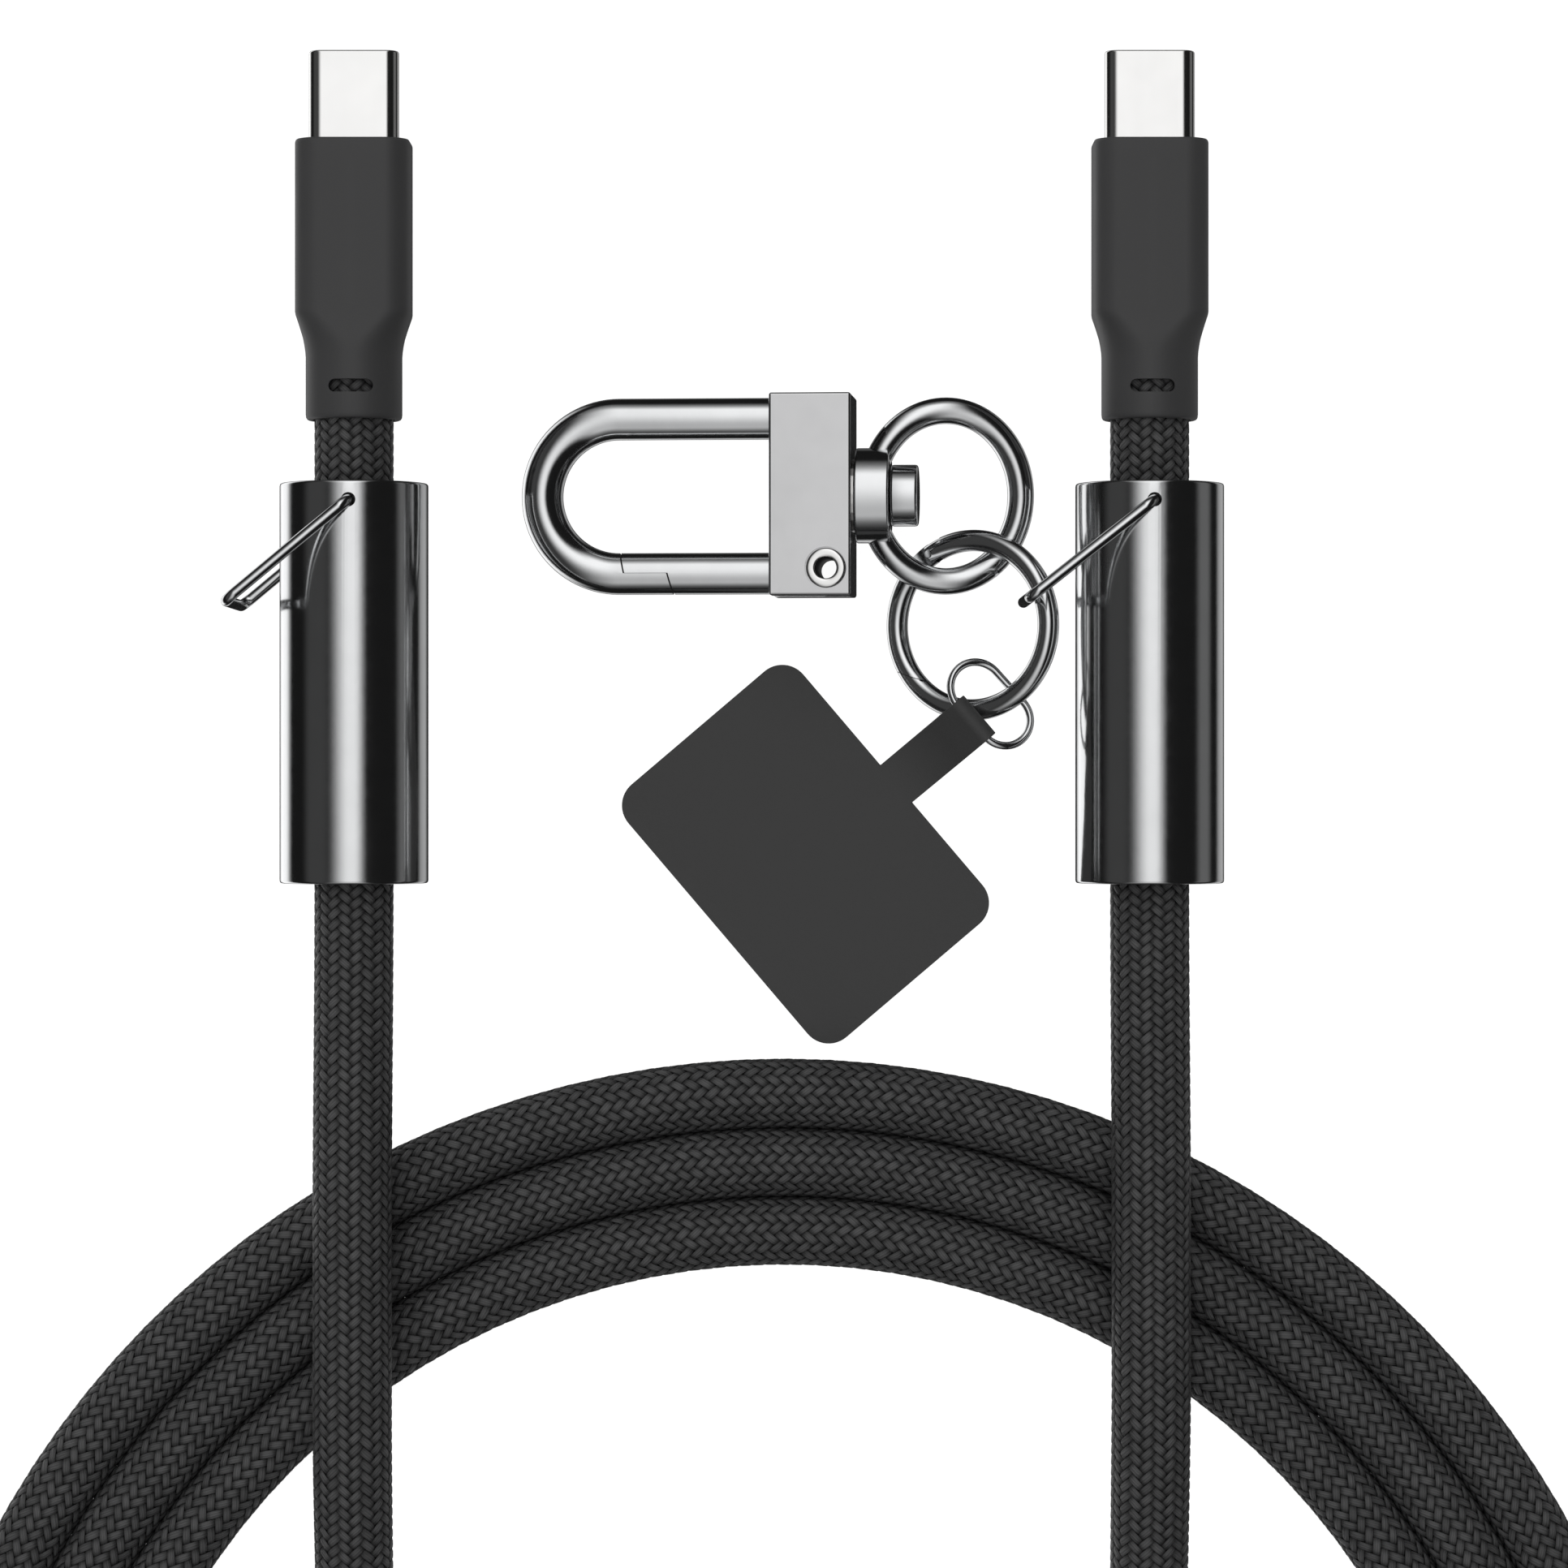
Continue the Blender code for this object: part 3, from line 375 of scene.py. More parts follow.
# %% [markdown]
# ## The braid
# The jacket is a round braid. Each flat yarn passes over two others and dives under two, so
# the eye sees columns of short slanting floats, leaning left and right in turn. Every float is
# the same small pillow, and Geometry Nodes lays thousands of them on a flat sheet and then
# rolls the sheet round the cord's line. A float is a slanting grid of fifteen faces. Its ends
# dive lower than its neighbours' sides, which gives the herringbone its stepped edges, and its
# corners keep their place across the yarn for the finish to use.


# %% Braid tree
COLUMNS = 20
MEAN_RADIUS = 3.5 * MM
BRAID_INPUTS = {"Columns": "Int", "Rows": "Int", "Seed": "Int"}
BRAID_INPUTS |= {"Start": "Float", "Repeat": "Float", "Lean": "Float"}


def kept(bench, kind, domain, geometry, name, value):
    """The geometry with a value kept on it under a name."""
    settings = {"data_type": kind, "domain": domain}
    sockets = {"Geometry": geometry, "Name": name, "Value": value}
    return bench.node("GeometryNodeStoreNamedAttribute", settings, sockets).outputs[0]


def recalled(bench, name):
    """A number kept earlier under a name."""
    settings, sockets = {"data_type": "FLOAT"}, {"Name": name}
    return bench.value(bench.node("GeometryNodeInputNamedAttribute", settings, sockets).outputs[0])


def split_place(bench):
    """How far along and across its own float each point lies."""
    position = bench.node("GeometryNodeInputPosition").outputs[0]
    parts = bench.node("ShaderNodeSeparateXYZ", None, {0: position}).outputs
    return bench.value(parts[0]), bench.value(parts[1])


def vector(bench, operation, first, second):
    """A Vector Math node on two vectors, or on a vector and a number when it scales."""
    other = "Scale" if operation == "SCALE" else 1
    sockets = {0: first, other: second}
    return bench.node("ShaderNodeVectorMath", {"operation": operation}, sockets).outputs[0]


def braid_tree(material):
    tree = bpy.data.node_groups.new("round_braid", "GeometryNodeTree")
    tree.interface.new_socket("Line", in_out="INPUT", socket_type="NodeSocketGeometry")
    for name, kind in BRAID_INPUTS.items():
        tree.interface.new_socket(name, in_out="INPUT", socket_type=f"NodeSocket{kind}")
    tree.interface.new_socket("Braid", in_out="OUTPUT", socket_type="NodeSocketGeometry")
    bench = Bench(tree)
    given = bench.node("NodeGroupInput").outputs
    columns, rows = bench.value(given["Columns"]), bench.value(given["Rows"])
    start, repeat, angle = (bench.value(given[name]) for name in ("Start", "Repeat", "Lean"))
    index = bench.value(bench.node("GeometryNodeInputIndex").outputs[0])
    column, row = (index / rows).floor(), index % rows
    points = bench.node("GeometryNodePoints", None, {"Count": columns * rows}).outputs[0]
    seed = {"Seed": given["Seed"]}
    chance = bench.node("FunctionNodeRandomValue", {"data_type": "FLOAT"}, seed).outputs[1]
    for name, value in (("column", column), ("row", row), ("tint", chance)):
        points = kept(bench, "FLOAT", "POINT", points, name, value)
    grid = {"Size X": 2.0, "Size Y": 2.0, "Vertices X": 6, "Vertices Y": 4}
    pillow = bench.node("GeometryNodeMeshGrid", None, grid).outputs[0]
    laid = {"Points": points, "Instance": pillow}
    floats = bench.node("GeometryNodeInstanceOnPoints", None, laid).outputs[0]
    sheet = bench.node("GeometryNodeRealizeInstances", None, {0: floats}).outputs[0]
    along, across = split_place(bench)
    pair = bench.node("ShaderNodeCombineXYZ", None, {0: along, 1: across}).outputs[0]
    sheet = kept(bench, "FLOAT2", "CORNER", sheet, "yarn", pair)
    column, row = recalled(bench, "column"), recalled(bench, "row")
    other = column % 2
    lean = 1 - other * 2
    side = across.maths("SIGN") * across.size() ** 0.5
    reach = along.maths("SIGN") * along.size() ** 0.65
    pitch = (2 * pi) / columns
    half = pitch * 0.62 * reach
    slope = angle.sine() / angle.cosine()
    breadth = repeat * 0.485 * side
    girth = bench.value(bench.node("GeometryNodeInputRadius").outputs[0])
    turn = (column + 0.5) * pitch + half
    turn = turn - lean * breadth * angle.sine() * angle.cosine() / MEAN_RADIUS
    walked = start + repeat * (row + other * 0.5) + lean * half * slope * MEAN_RADIUS
    walked = walked + breadth * angle.cosine() ** 2
    rise = (0.45 - 0.36 * reach.size() ** 4.5 - 0.14 * side.size() ** 4) * MM
    sample = bench.node(
        "GeometryNodeSampleCurve",
        {"mode": "LENGTH", "use_all_curves": True, "data_type": "FLOAT"},
        {"Curves": given["Line"], "Value": girth, "Length": walked},
    )
    normal, tangent = sample.outputs["Normal"], sample.outputs["Tangent"]
    sideways = vector(bench, "CROSS_PRODUCT", tangent, normal)
    radius = bench.value(sample.outputs["Value"]) + rise
    place = sample.outputs["Position"]
    for arrow, amount in ((normal, turn.cosine()), (sideways, turn.sine())):
        place = vector(bench, "ADD", place, vector(bench, "SCALE", arrow, amount * radius))
    moved = {"Geometry": sheet, "Position": place}
    rolled = bench.node("GeometryNodeSetPosition", None, moved).outputs[0]
    rolled = bench.node("GeometryNodeSetShadeSmooth", None, {0: rolled}).outputs[0]
    whole = bench.node("GeometryNodeRealizeInstances", None, {0: rolled}).outputs[0]
    dressed = bench.node("GeometryNodeSetMaterial", None, {"Geometry": whole, "Material": material})
    bench.node("NodeGroupOutput", None, {0: dressed.outputs[0]})
    return tree


def settled(thing, name):
    """The shape with its modifiers worked out, as a plain mesh in a new object."""
    graph = bpy.context.evaluated_depsgraph_get()
    mesh = bpy.data.meshes.new_from_object(thing.evaluated_get(graph))
    made = bpy.data.objects.new(name, mesh)
    bpy.context.scene.collection.objects.link(made)
    bpy.data.objects.remove(thing, do_unlink=True)
    return made


def braided(name, tree, start, end, repeat, lean, seed):
    """The braid over one stretch of the cord, as a plain mesh."""
    thing = curve_along(name + "_line", line, core_radii)
    step = thing.modifiers.new("braid", "NODES")
    step.node_group = tree
    rows = round((end - start) / repeat)
    wanted = {"Columns": COLUMNS, "Rows": rows, "Lean": radians(lean), "Seed": seed}
    wanted |= {"Start": start * MM, "Repeat": (end - start) / rows * MM}
    for socket in tree.interface.items_tree:
        if socket.name in wanted:
            step[socket.identifier] = wanted[socket.name]
    made = settled(thing, name)
    print(name, len(made.data.polygons) * 2, "triangles")
    return made


# %% [markdown]
# ## Finishes
# Every finish is a small tree on the standard shader. Polished metal needs only slight changes
# of tone and gloss, so that its reflections aren't perfect. Moulded plastic needs a fine
# pebbled bump. A number that is the same all over goes straight on the shader's own socket.


# %% Finish helpers
def blank(name, roughness, metallic=0.0, **more):
    """A new material: its bench and its shader."""
    made = bpy.data.materials.new(name)
    made.use_nodes = True
    shader = made.node_tree.nodes["Principled BSDF"]
    shader.inputs["Roughness"].default_value = roughness
    shader.inputs["Metallic"].default_value = metallic
    for socket, value in more.items():
        shader.inputs[socket.replace("_", " ")].default_value = value
    return made, Bench(made.node_tree), shader


def own_place(bench, stretch=(1.0, 1.0, 1.0)):
    """Where a point is on the piece, stretched so that a pattern runs one way."""
    place = bench.node("ShaderNodeTexCoord").outputs["Object"]
    return bench.node("ShaderNodeMapping", None, {"Vector": place, "Scale": stretch}).outputs[0]


def cloud(bench, scale, detail=2.0, stretch=(1.0, 1.0, 1.0)):
    sockets = {"Vector": own_place(bench, stretch), "Scale": scale, "Detail": detail}
    return bench.value(bench.node("ShaderNodeTexNoise", None, sockets).outputs[0])


def paint(bench, shader, tone, tint=(1.0, 1.0, 1.0)):
    """Sets a colour that is one tone times a fixed tint."""
    channels = {k: tone * part for k, part in enumerate(tint)}
    colour = bench.node("ShaderNodeCombineColor", None, channels)
    bench.feed(shader.inputs["Base Color"], colour.outputs[0])


def emboss(bench, shader, height, depth, strength=1.0):
    """Bumps of a real depth, in metres."""
    sockets = {"Height": height, "Distance": depth, "Strength": strength}
    bench.feed(shader.inputs["Normal"], bench.node("ShaderNodeBump", None, sockets).outputs[0])


def polished(name, tone, tint, gloss, grain=(1.0, 1.0, 1.0)):
    """Plated metal: faint cloudiness, faint polishing lines, uneven gloss."""
    made, bench, shader = blank(name, gloss, 1.0)
    paint(bench, shader, tone * (0.95 + 0.1 * cloud(bench, 260.0)), tint)
    lines, haze = cloud(bench, 1500.0, 3.0, grain), cloud(bench, 420.0, 3.0)
    bench.feed(shader.inputs["Roughness"], gloss + 0.07 * (haze - 0.5) + 0.05 * (lines - 0.5))
    emboss(bench, shader, lines, 0.0000025)
    return made


def moulded(name, tone, tint, gloss, pebble, depth, swing=0.12):
    """Moulded plastic or rubber with the mould's fine pebbled skin."""
    made, bench, shader = blank(name, gloss)
    fine, broad = cloud(bench, pebble, 3.0), cloud(bench, 180.0)
    paint(bench, shader, tone * (1 - swing / 2 + swing * broad) * (0.94 + 0.12 * fine), tint)
    bench.feed(shader.inputs["Roughness"], gloss + 0.1 * (broad - 0.5) + 0.08 * (fine - 0.5))
    emboss(bench, shader, fine, depth)
    return made


# %% [markdown]
# The barrels, bails, rings and hook are black nickel: bright where they mirror the panel and
# almost black elsewhere. The clasp's box is a shade greyer, and the plug shells are plain
# bright nickel with faint lines along them from the drawing die.

# %% Metals and mouldings
black_nickel = polished("black_nickel", 0.66, (0.98, 0.99, 1.0), 0.13)
grey_nickel = polished("polished_gunmetal", 0.53, (0.99, 0.99, 1.0), 0.16)
bright_nickel = polished("bright_nickel", 0.75, (1.0, 0.995, 0.985), 0.15, (1.0, 0.04, 1.0))
spring_steel = polished("spring_steel", 0.6, (1.0, 0.99, 0.97), 0.28, (1.0, 0.1, 1.0))
gilt = polished("gilt_contact", 0.85, (1.0, 0.76, 0.36), 0.2)
brass = polished("crimp_brass", 0.72, (1.0, 0.74, 0.4), 0.3)
grip_moulding = moulded("soft_moulding", 0.046, (1.0, 1.0, 1.02), 0.56, 7000.0, 0.00001)
hard_black = moulded("hard_plastic", 0.02, (1.0, 1.0, 1.0), 0.38, 3000.0, 0.000004)
tab_skin = moulded("tab_sheet", 0.042, (1.0, 1.0, 1.0), 0.62, 3600.0, 0.00002)
card = moulded("circuit_card", 0.14, (0.12, 1.0, 0.4), 0.4, 2600.0, 0.000006, 0.3)
wire_coats = {
    "power_wire": moulded("wire_red", 0.5, (1.0, 0.05, 0.04), 0.4, 2500.0, 0.000004),
    "ground_wire": moulded("wire_black", 0.02, (1.0, 1.0, 1.0), 0.4, 2500.0, 0.000004),
    "data_wire_a": moulded("wire_green", 0.28, (0.1, 1.0, 0.22), 0.4, 2500.0, 0.000004),
    "data_wire_b": moulded("wire_white", 0.75, (1.0, 1.0, 0.97), 0.4, 2500.0, 0.000004),
}
print("finishes", sorted(material.name for material in bpy.data.materials if material.users == 0))

# %% [markdown]
# A yarn is a flat bundle of fine filaments, so its finish runs lines along each float. The
# float's own two coordinates say where a point is across the yarn and along it, and a random
# number for each float makes one a little lighter than the next. Painted shade darkens the
# ends that dive under the next yarn and the thin seams along each float's sides, a painted
# highlight brightens the middle of each float, and painted shade darkens what lies low
# between two turns of the coil, where little light gets in.


# %% Yarn
def yarn_finish():
    made, bench, shader = blank("braid_yarn", 0.5, 0.0, Specular_IOR_Level=0.3)
    where = bench.node("ShaderNodeAttribute", {"attribute_name": "yarn"}).outputs["Vector"]
    parts = bench.node("ShaderNodeSeparateXYZ", None, {0: where})
    along, across = bench.value(parts.outputs[0]), bench.value(parts.outputs[1])
    tint = bench.value(bench.node("ShaderNodeAttribute", {"attribute_name": "tint"}).outputs["Fac"])
    waver = cloud(bench, 1400.0) * 3.0
    filaments = ((across * 17.0) + waver + tint * 6.0).sine() * 0.5 + 0.5
    # Painted shade darkens each float's ends where they dive under the next yarn, and a painted
    # highlight brightens its middle.
    shade = (1 - 0.8 * along.size().step(0.2, 1.0)) * (1.25 - 0.4 * along.size().step(0.0, 0.5))
    # Painted shade: the thin seams along each float's two sides are darkened.
    edge = 1 - 0.97 * across.size() ** 7
    # Painted shade: the braid is darkened by its height, so that what lies low between two coil
    # turns reads as shadow.
    point = bench.node("ShaderNodeTexCoord").outputs["Object"]
    height = bench.value(bench.node("ShaderNodeSeparateXYZ", None, {0: point}).outputs[2])
    painted_crease_shade = 0.22 + 0.78 * height.step(3.0 * MM, 4.9 * MM)
    tone = (0.047 + 0.018 * tint) * (0.8 + 0.4 * filaments) * shade * edge * painted_crease_shade + 0.0012
    paint(bench, shader, tone, (1.0, 1.0, 1.01))
    bench.feed(shader.inputs["Roughness"], 0.46 + 0.12 * filaments)
    emboss(bench, shader, filaments, 0.00002)
    return made


yarn = yarn_finish()
# The core's near-black finish is painted shade: it shows as shadow in the gaps between the yarns.
painted_shadow_core = moulded("braid_shadow", 0.006, (1.0, 1.0, 1.0), 0.8, 3000.0, 0.00001)

# %% [markdown]
# The braid is made in stretches, because one mesh of the whole cord would be too heavy to
# handle: a shorter repeat near the plugs, and a longer one in the coil.

# %% Braid the cord
braid = braid_tree(yarn)
LEFT_END, RIGHT_START = 236.0, cord_length - 300.0
cuts = np.linspace(LEFT_END, RIGHT_START, 5)
stretches = [("braid_left", 0.4, LEFT_END, 1.04, 42.0)]
stretches += [(f"braid_coil_{k + 1}", cuts[k], cuts[k + 1], 1.25, 49.0) for k in range(4)]
stretches += [("braid_right", RIGHT_START, cord_length - 0.9, 1.04, 42.0)]
braids = [
    braided(name, braid, start, end, repeat, lean, 5 + k)
    for k, (name, start, end, repeat, lean) in enumerate(stretches)
]
cord_core.data.materials.append(painted_shadow_core)
for piece in braids:
    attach(piece, "cord_and_plugs")
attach(cord_core, "cord_and_plugs")
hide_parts("cord_run_left", "cord_run_right", "cord_coil")

# %% [markdown]
# ## Making shapes
# Most parts are bars, tubes and rings, so four makers are enough: a loft through outlines, a
# wire along a path, a turned profile, and a slab. They work in millimetres. A cut is made at
# once and leaves a plain mesh. When a piece is done it is brought to metres, smoothed except
# at its sharp edges, given its finish, and put on its body.


# %% Makers
def shape(name, points, faces, place=None):
    mesh = bpy.data.meshes.new(name)
    mesh.from_pydata([tuple(p) for p in points], [], faces)
    if place is not None:
        mesh.transform(place)
    work = bmesh.new()
    work.from_mesh(mesh)
    bmesh.ops.remove_doubles(work, verts=work.verts, dist=1e-4)
    bmesh.ops.recalc_face_normals(work, faces=work.faces)
    work.to_mesh(mesh)
    work.free()
    thing = bpy.data.objects.new(name, mesh)
    bpy.context.scene.collection.objects.link(thing)
    return thing


def loft(name, rings, place=None, closed=False):
    """Faces between rings of equal count: a capped bar, or a closed loop of rings."""
    count = len(rings[0])
    faces = []
    for i in range(len(rings) if closed else len(rings) - 1):
        a, b = i * count, (i + 1) % len(rings) * count
        faces += [(a + j, a + (j + 1) % count, b + (j + 1) % count, b + j) for j in range(count)]
    if not closed:
        faces += [tuple(range(count)), tuple(range((len(rings) - 1) * count, len(rings) * count))]
    return shape(name, [p for ring in rings for p in ring], faces, place)


def wire(name, path, radius, place=None, sides=28, closed=False, round_ends=False):
    """A round wire along a path, its section carried along without twist."""
    path = [Vector(p) for p in path]
    radii = [radius] * len(path)
    if round_ends:
        path, radii = with_round_ends(path, radius)
    rings, side = [], None
    for i, point in enumerate(path):
        ahead = path[(i + 1) % len(path)] if closed else path[min(i + 1, len(path) - 1)]
        behind = path[i - 1] if closed else path[max(i - 1, 0)]
        way = (ahead - behind).normalized()
        if side is None:
            side = way.cross(Vector((0, 0, 1)) if abs(way.z) < 0.9 else Vector((1, 0, 0)))
        side = (side - side.dot(way) * way).normalized()
        up = way.cross(side)
        turns = [2 * pi * k / sides for k in range(sides)]
        rings.append([point + radii[i] * (cos(t) * side + sin(t) * up) for t in turns])
    return loft(name, rings, place, closed)


def with_round_ends(path, radius, softness=0.3):
    """The path with extra points, and radii that close each end in a soft edge."""
    first = (path[1] - path[0]).normalized()
    last = (path[-1] - path[-2]).normalized()
    steps = [(1 - cos(k * pi / 8), sin(k * pi / 8)) for k in range(1, 5)]
    soft = radius * softness
    head = [path[0] + first * (0.0001 + soft * a) for a, _ in steps]
    tail = [path[-1] - last * (0.0001 + soft * a) for a, _ in reversed(steps)]
    near = [radius - soft + soft * b for _, b in steps]
    ends = [radius - soft]
    whole = [path[0], *head, *path[1:-1], *tail, path[-1]]
    return whole, ends + near + [radius] * (len(path) - 2) + near[::-1] + ends


def softened(outline, radius, steps=4, closed=True):
    """An outline with its corners rounded off."""
    points = [Vector(p) for p in outline]
    made = []
    for i, corner in enumerate(points):
        if not closed and i in (0, len(points) - 1):
            made.append(corner)
            continue
        before, after = points[i - 1] - corner, points[(i + 1) % len(points)] - corner
        reach = min(radius, 0.48 * before.length, 0.48 * after.length)
        a, b = corner + before.normalized() * reach, corner + after.normalized() * reach
        for k in range(steps + 1):
            t = k / steps
            made.append((1 - t) ** 2 * a + 2 * t * (1 - t) * corner + t * t * b)
    return made


def turned(name, profile, place=None, axis="Y", sides=128, ring=True):
    """A profile of (radius, height) turned about an axis: a ring, or a solid bar."""
    rings = []
    for k in range(sides):
        t = 2 * pi * k / sides
        rings.append([on_axis(r * cos(t), r * sin(t), h, axis) for r, h in profile])
    if ring:
        return loft(name, rings, place, closed=True)
    return loft(name, [[one[i] for one in rings] for i in range(len(profile))], place)


def on_axis(a, b, h, axis):
    return {"X": Vector((h, a, b)), "Y": Vector((b, h, a)), "Z": Vector((a, b, h))}[axis]


def slab(name, outline, low, high, place=None):
    return loft(name, [[Vector((x, y, z)) for x, y in outline] for z in (low, high)], place)


def bar(radius, low, high, axis, centre=(0, 0, 0), place=None, sides=64):
    """A plain round bar for cutting."""
    move = Matrix.Translation(Vector(centre))
    move = place @ move if place is not None else move
    return turned("bar", [(radius, low), (radius, high)], move, axis, sides, ring=False)


def arc(centre, radius, start, end, steps):
    turns = [start + (end - start) * k / steps for k in range(steps + 1)]
    return [(centre[0] + radius * cos(t), centre[1] + radius * sin(t)) for t in turns]


def rounded_outline(half_x, half_y, corner, steps=12):
    points = []
    for k, (sx, sy) in enumerate(((1, 1), (-1, 1), (-1, -1), (1, -1))):
        centre = (sx * (half_x - corner), sy * (half_y - corner))
        points += arc(centre, corner, k * pi / 2, (k + 1) * pi / 2, steps)
    return points


def cut(target, *others, operation="DIFFERENCE"):
    """A Boolean with each other shape in turn, worked out at once."""
    name = target.name
    for other in others:
        step = target.modifiers.new("cut", "BOOLEAN")
        step.operation = operation
        step.solver = "EXACT"
        step.object = other
    made = settled(target, name + "_cut")
    for other in others:
        bpy.data.objects.remove(other, do_unlink=True)
    made.name = name
    return made


def bevelled(target, width, segments=3, angle=35.0):
    """The shape with its sharp edges rounded."""
    step = target.modifiers.new("edges", "BEVEL")
    step.width = width
    step.segments = segments
    step.angle_limit = radians(angle)
    name = target.name
    made = settled(target, name + "_bevelled")
    made.name = name
    return made


def done(thing, material, body, nodes, angle=40.0, crowned=False):
    """A piece in metres, on its body. Its flat faces shade flat unless it is crowned."""
    thing.data.transform(Matrix.Scale(MM, 4))
    thing.data.shade_smooth()
    thing.data.set_sharp_from_angle(angle=radians(angle))
    if not crowned:
        step = thing.modifiers.new("normals", "WEIGHTED_NORMAL")
        step.keep_sharp = True
        step.weight = 80
    thing = settled(thing, nodes[0] + "_look")
    thing.data.materials.clear()
    thing.data.materials.append(material)
    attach(thing, body)
    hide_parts(*nodes)
    print(thing.name, len(thing.data.polygons), "faces")
    return thing


# %% [markdown]
# ## The plugs
# Each plug is a drawn metal shell held in a soft moulded grip. The grip has a straight body
# with round edges, a short taper, and a round neck. A slot through the neck shows the cord.
# Inside are the parts that a real plug needs: contacts, latch, card, screen, ferrule and
# wires. Those come from the frame with their own finishes, as they are right as they are.

# %% Plugs
SHELL_HALF, SHELL_WALL = (4.17, 1.28), 0.28
SHELL_BACK, SHELL_TIP = 22.9, 34.15


def across_plug(half_x, half_z, corner, y, steps=12):
    return [Vector((x, y, z)) for x, z in rounded_outline(half_x, half_z, corner, steps)]


def plug_place(side):
    return Matrix.Translation((AXIS_X[side], NECK_END_Y, AXIS_Z))


def grip(side):
    """The moulding, with its bore, its slot for the shell and the window in its neck."""
    place = plug_place(side)
    at = [0.0, 0.06, 0.22, 0.5, 3.0, 5.8, 6.3, 6.9, 7.5, 8.1, 8.7, 9.2, 9.6, 9.9, 10.3]
    at += [12.0, 16.0, 20.0, 24.0, 25.4, 25.56, 25.7, 25.78, 25.8]
    knots = [0.0, 0.06, 0.22, 0.5, 6.05, 7.3, 8.4, 9.75, 25.4, 25.56, 25.7, 25.78, 25.8]
    wide = [4.2, 4.32, 4.43, 4.47, 4.47, 4.62, 4.9, 5.3, 5.3, 5.28, 5.22, 5.14, 5.06]
    tall = [4.2, 4.32, 4.43, 4.47, 4.47, 4.44, 4.3, 4.2, 4.2, 4.18, 4.12, 4.04, 3.96]
    corner = [1.0, 1.0, 1.0, 1.0, 1.0, 0.9, 0.75, 0.55, 0.55, 0.55, 0.55, 0.55, 0.55]
    rings = []
    for y in at:
        x, z, round_share = (float(np.interp(y, knots, row)) for row in (wide, tall, corner))
        rings.append(across_plug(x, z, min(x, z) * round_share * 0.999, y))
    body = loft("grip", rings, place)
    bore = bar(3.8, -1, 9.5, "Y", place=place)
    slot = loft("slot", [across_plug(4.4, 1.5, 1.45, y, 8) for y in (24.0, 27.0)], place)
    outline = [(x, y + 2.97) for x, y in rounded_outline(2.05, 0.6, 0.59, 8)]
    body = cut(body, bore, slot, slab("window", outline, -6, 6, place))
    nodes = [f"overmould_{side}"]
    return done(body, grip_moulding, "cord_and_plugs", nodes, 32.0, crowned=True)


def plug_shell(side):
    """A flat tube drawn from sheet, with a rolled lip."""
    lip = [(0.0, 0.24), (0.03, 0.16), (0.09, 0.08), (0.14, 0.05)]
    lip += [(0.19, 0.08), (0.25, 0.16), (0.28, 0.24)]
    lip = [(SHELL_TIP - back + 0.05, deep) for deep, back in lip]
    profile = [(SHELL_BACK, 0.0), *lip, (SHELL_BACK, SHELL_WALL)]
    rings = []
    for y, deep in profile:
        half_x, half_z = SHELL_HALF[0] - deep, SHELL_HALF[1] - deep
        rings.append(across_plug(half_x, half_z, half_z * 0.98, min(y, SHELL_TIP), 16))
    shell = loft("shell", rings, plug_place(side), closed=True)
    nodes = [f"plug_shell_{side}"]
    return done(shell, bright_nickel, "cord_and_plugs", nodes, 50.0)


def dress(node, material):
    """A carried-over node keeps its shape and gets its finish."""
    for slot in frame["nodes"][node].material_slots:
        slot.material = material


inner_parts = {
    "contact_insulator": hard_black,
    "contacts_upper": gilt,
    "contacts_lower": gilt,
    "latch_spring": spring_steel,
    "paddle_card": card,
    "emarker_chip": hard_black,
    "shield_can": spring_steel,
    "inner_mould": hard_black,
    "crimp_ferrule": brass,
    **wire_coats,
}
plug_parts = {}
for side in ("left", "right"):
    plug_parts[side] = [grip(side), plug_shell(side)]
    for part, material in inner_parts.items():
        dress(f"{part}_{side}", material)

# %% [markdown]
# ## The barrels and their bails
# A barrel is a turned tube that slides along the cord and over its plug. Its profile is turned
# once round the axis, with softened edges, and drilled across near the top. The bail is a wire
# stirrup whose tips spring into the two holes.

# %% Barrels and bails
BARREL_END_Y, BARREL_LENGTH = -30.83, 36.98
BARREL_RADIUS, BARREL_BORE = 6.87, 5.95
HOLE_AT, HOLE_RADIUS = 35.18, 0.66
BAIL_WIRE, BAIL_REACH, BAIL_STAND, BAIL_CORNER = 0.52, 14.5, 7.67, 1.1
BAIL_TURN = {"left": radians(219.8), "right": radians(218.2)}


def barrel(side):
    place = Matrix.Translation((AXIS_X[side], BARREL_END_Y, AXIS_Z))
    outline = [(BARREL_RADIUS, 0), (BARREL_RADIUS, BARREL_LENGTH)]
    outline += [(BARREL_BORE, BARREL_LENGTH), (BARREL_BORE, 0)]
    tube = turned("barrel", softened(outline, 0.3), place, "Y", 144)
    tube = cut(tube, bar(HOLE_RADIUS, -9, 9, "Z", (0, HOLE_AT, 0), place, 48))
    done(tube, black_nickel, f"{side}_barrel", [f"barrel_tube_{side}"], 30.0)
    dress(f"barrel_bush_{side}", hard_black)


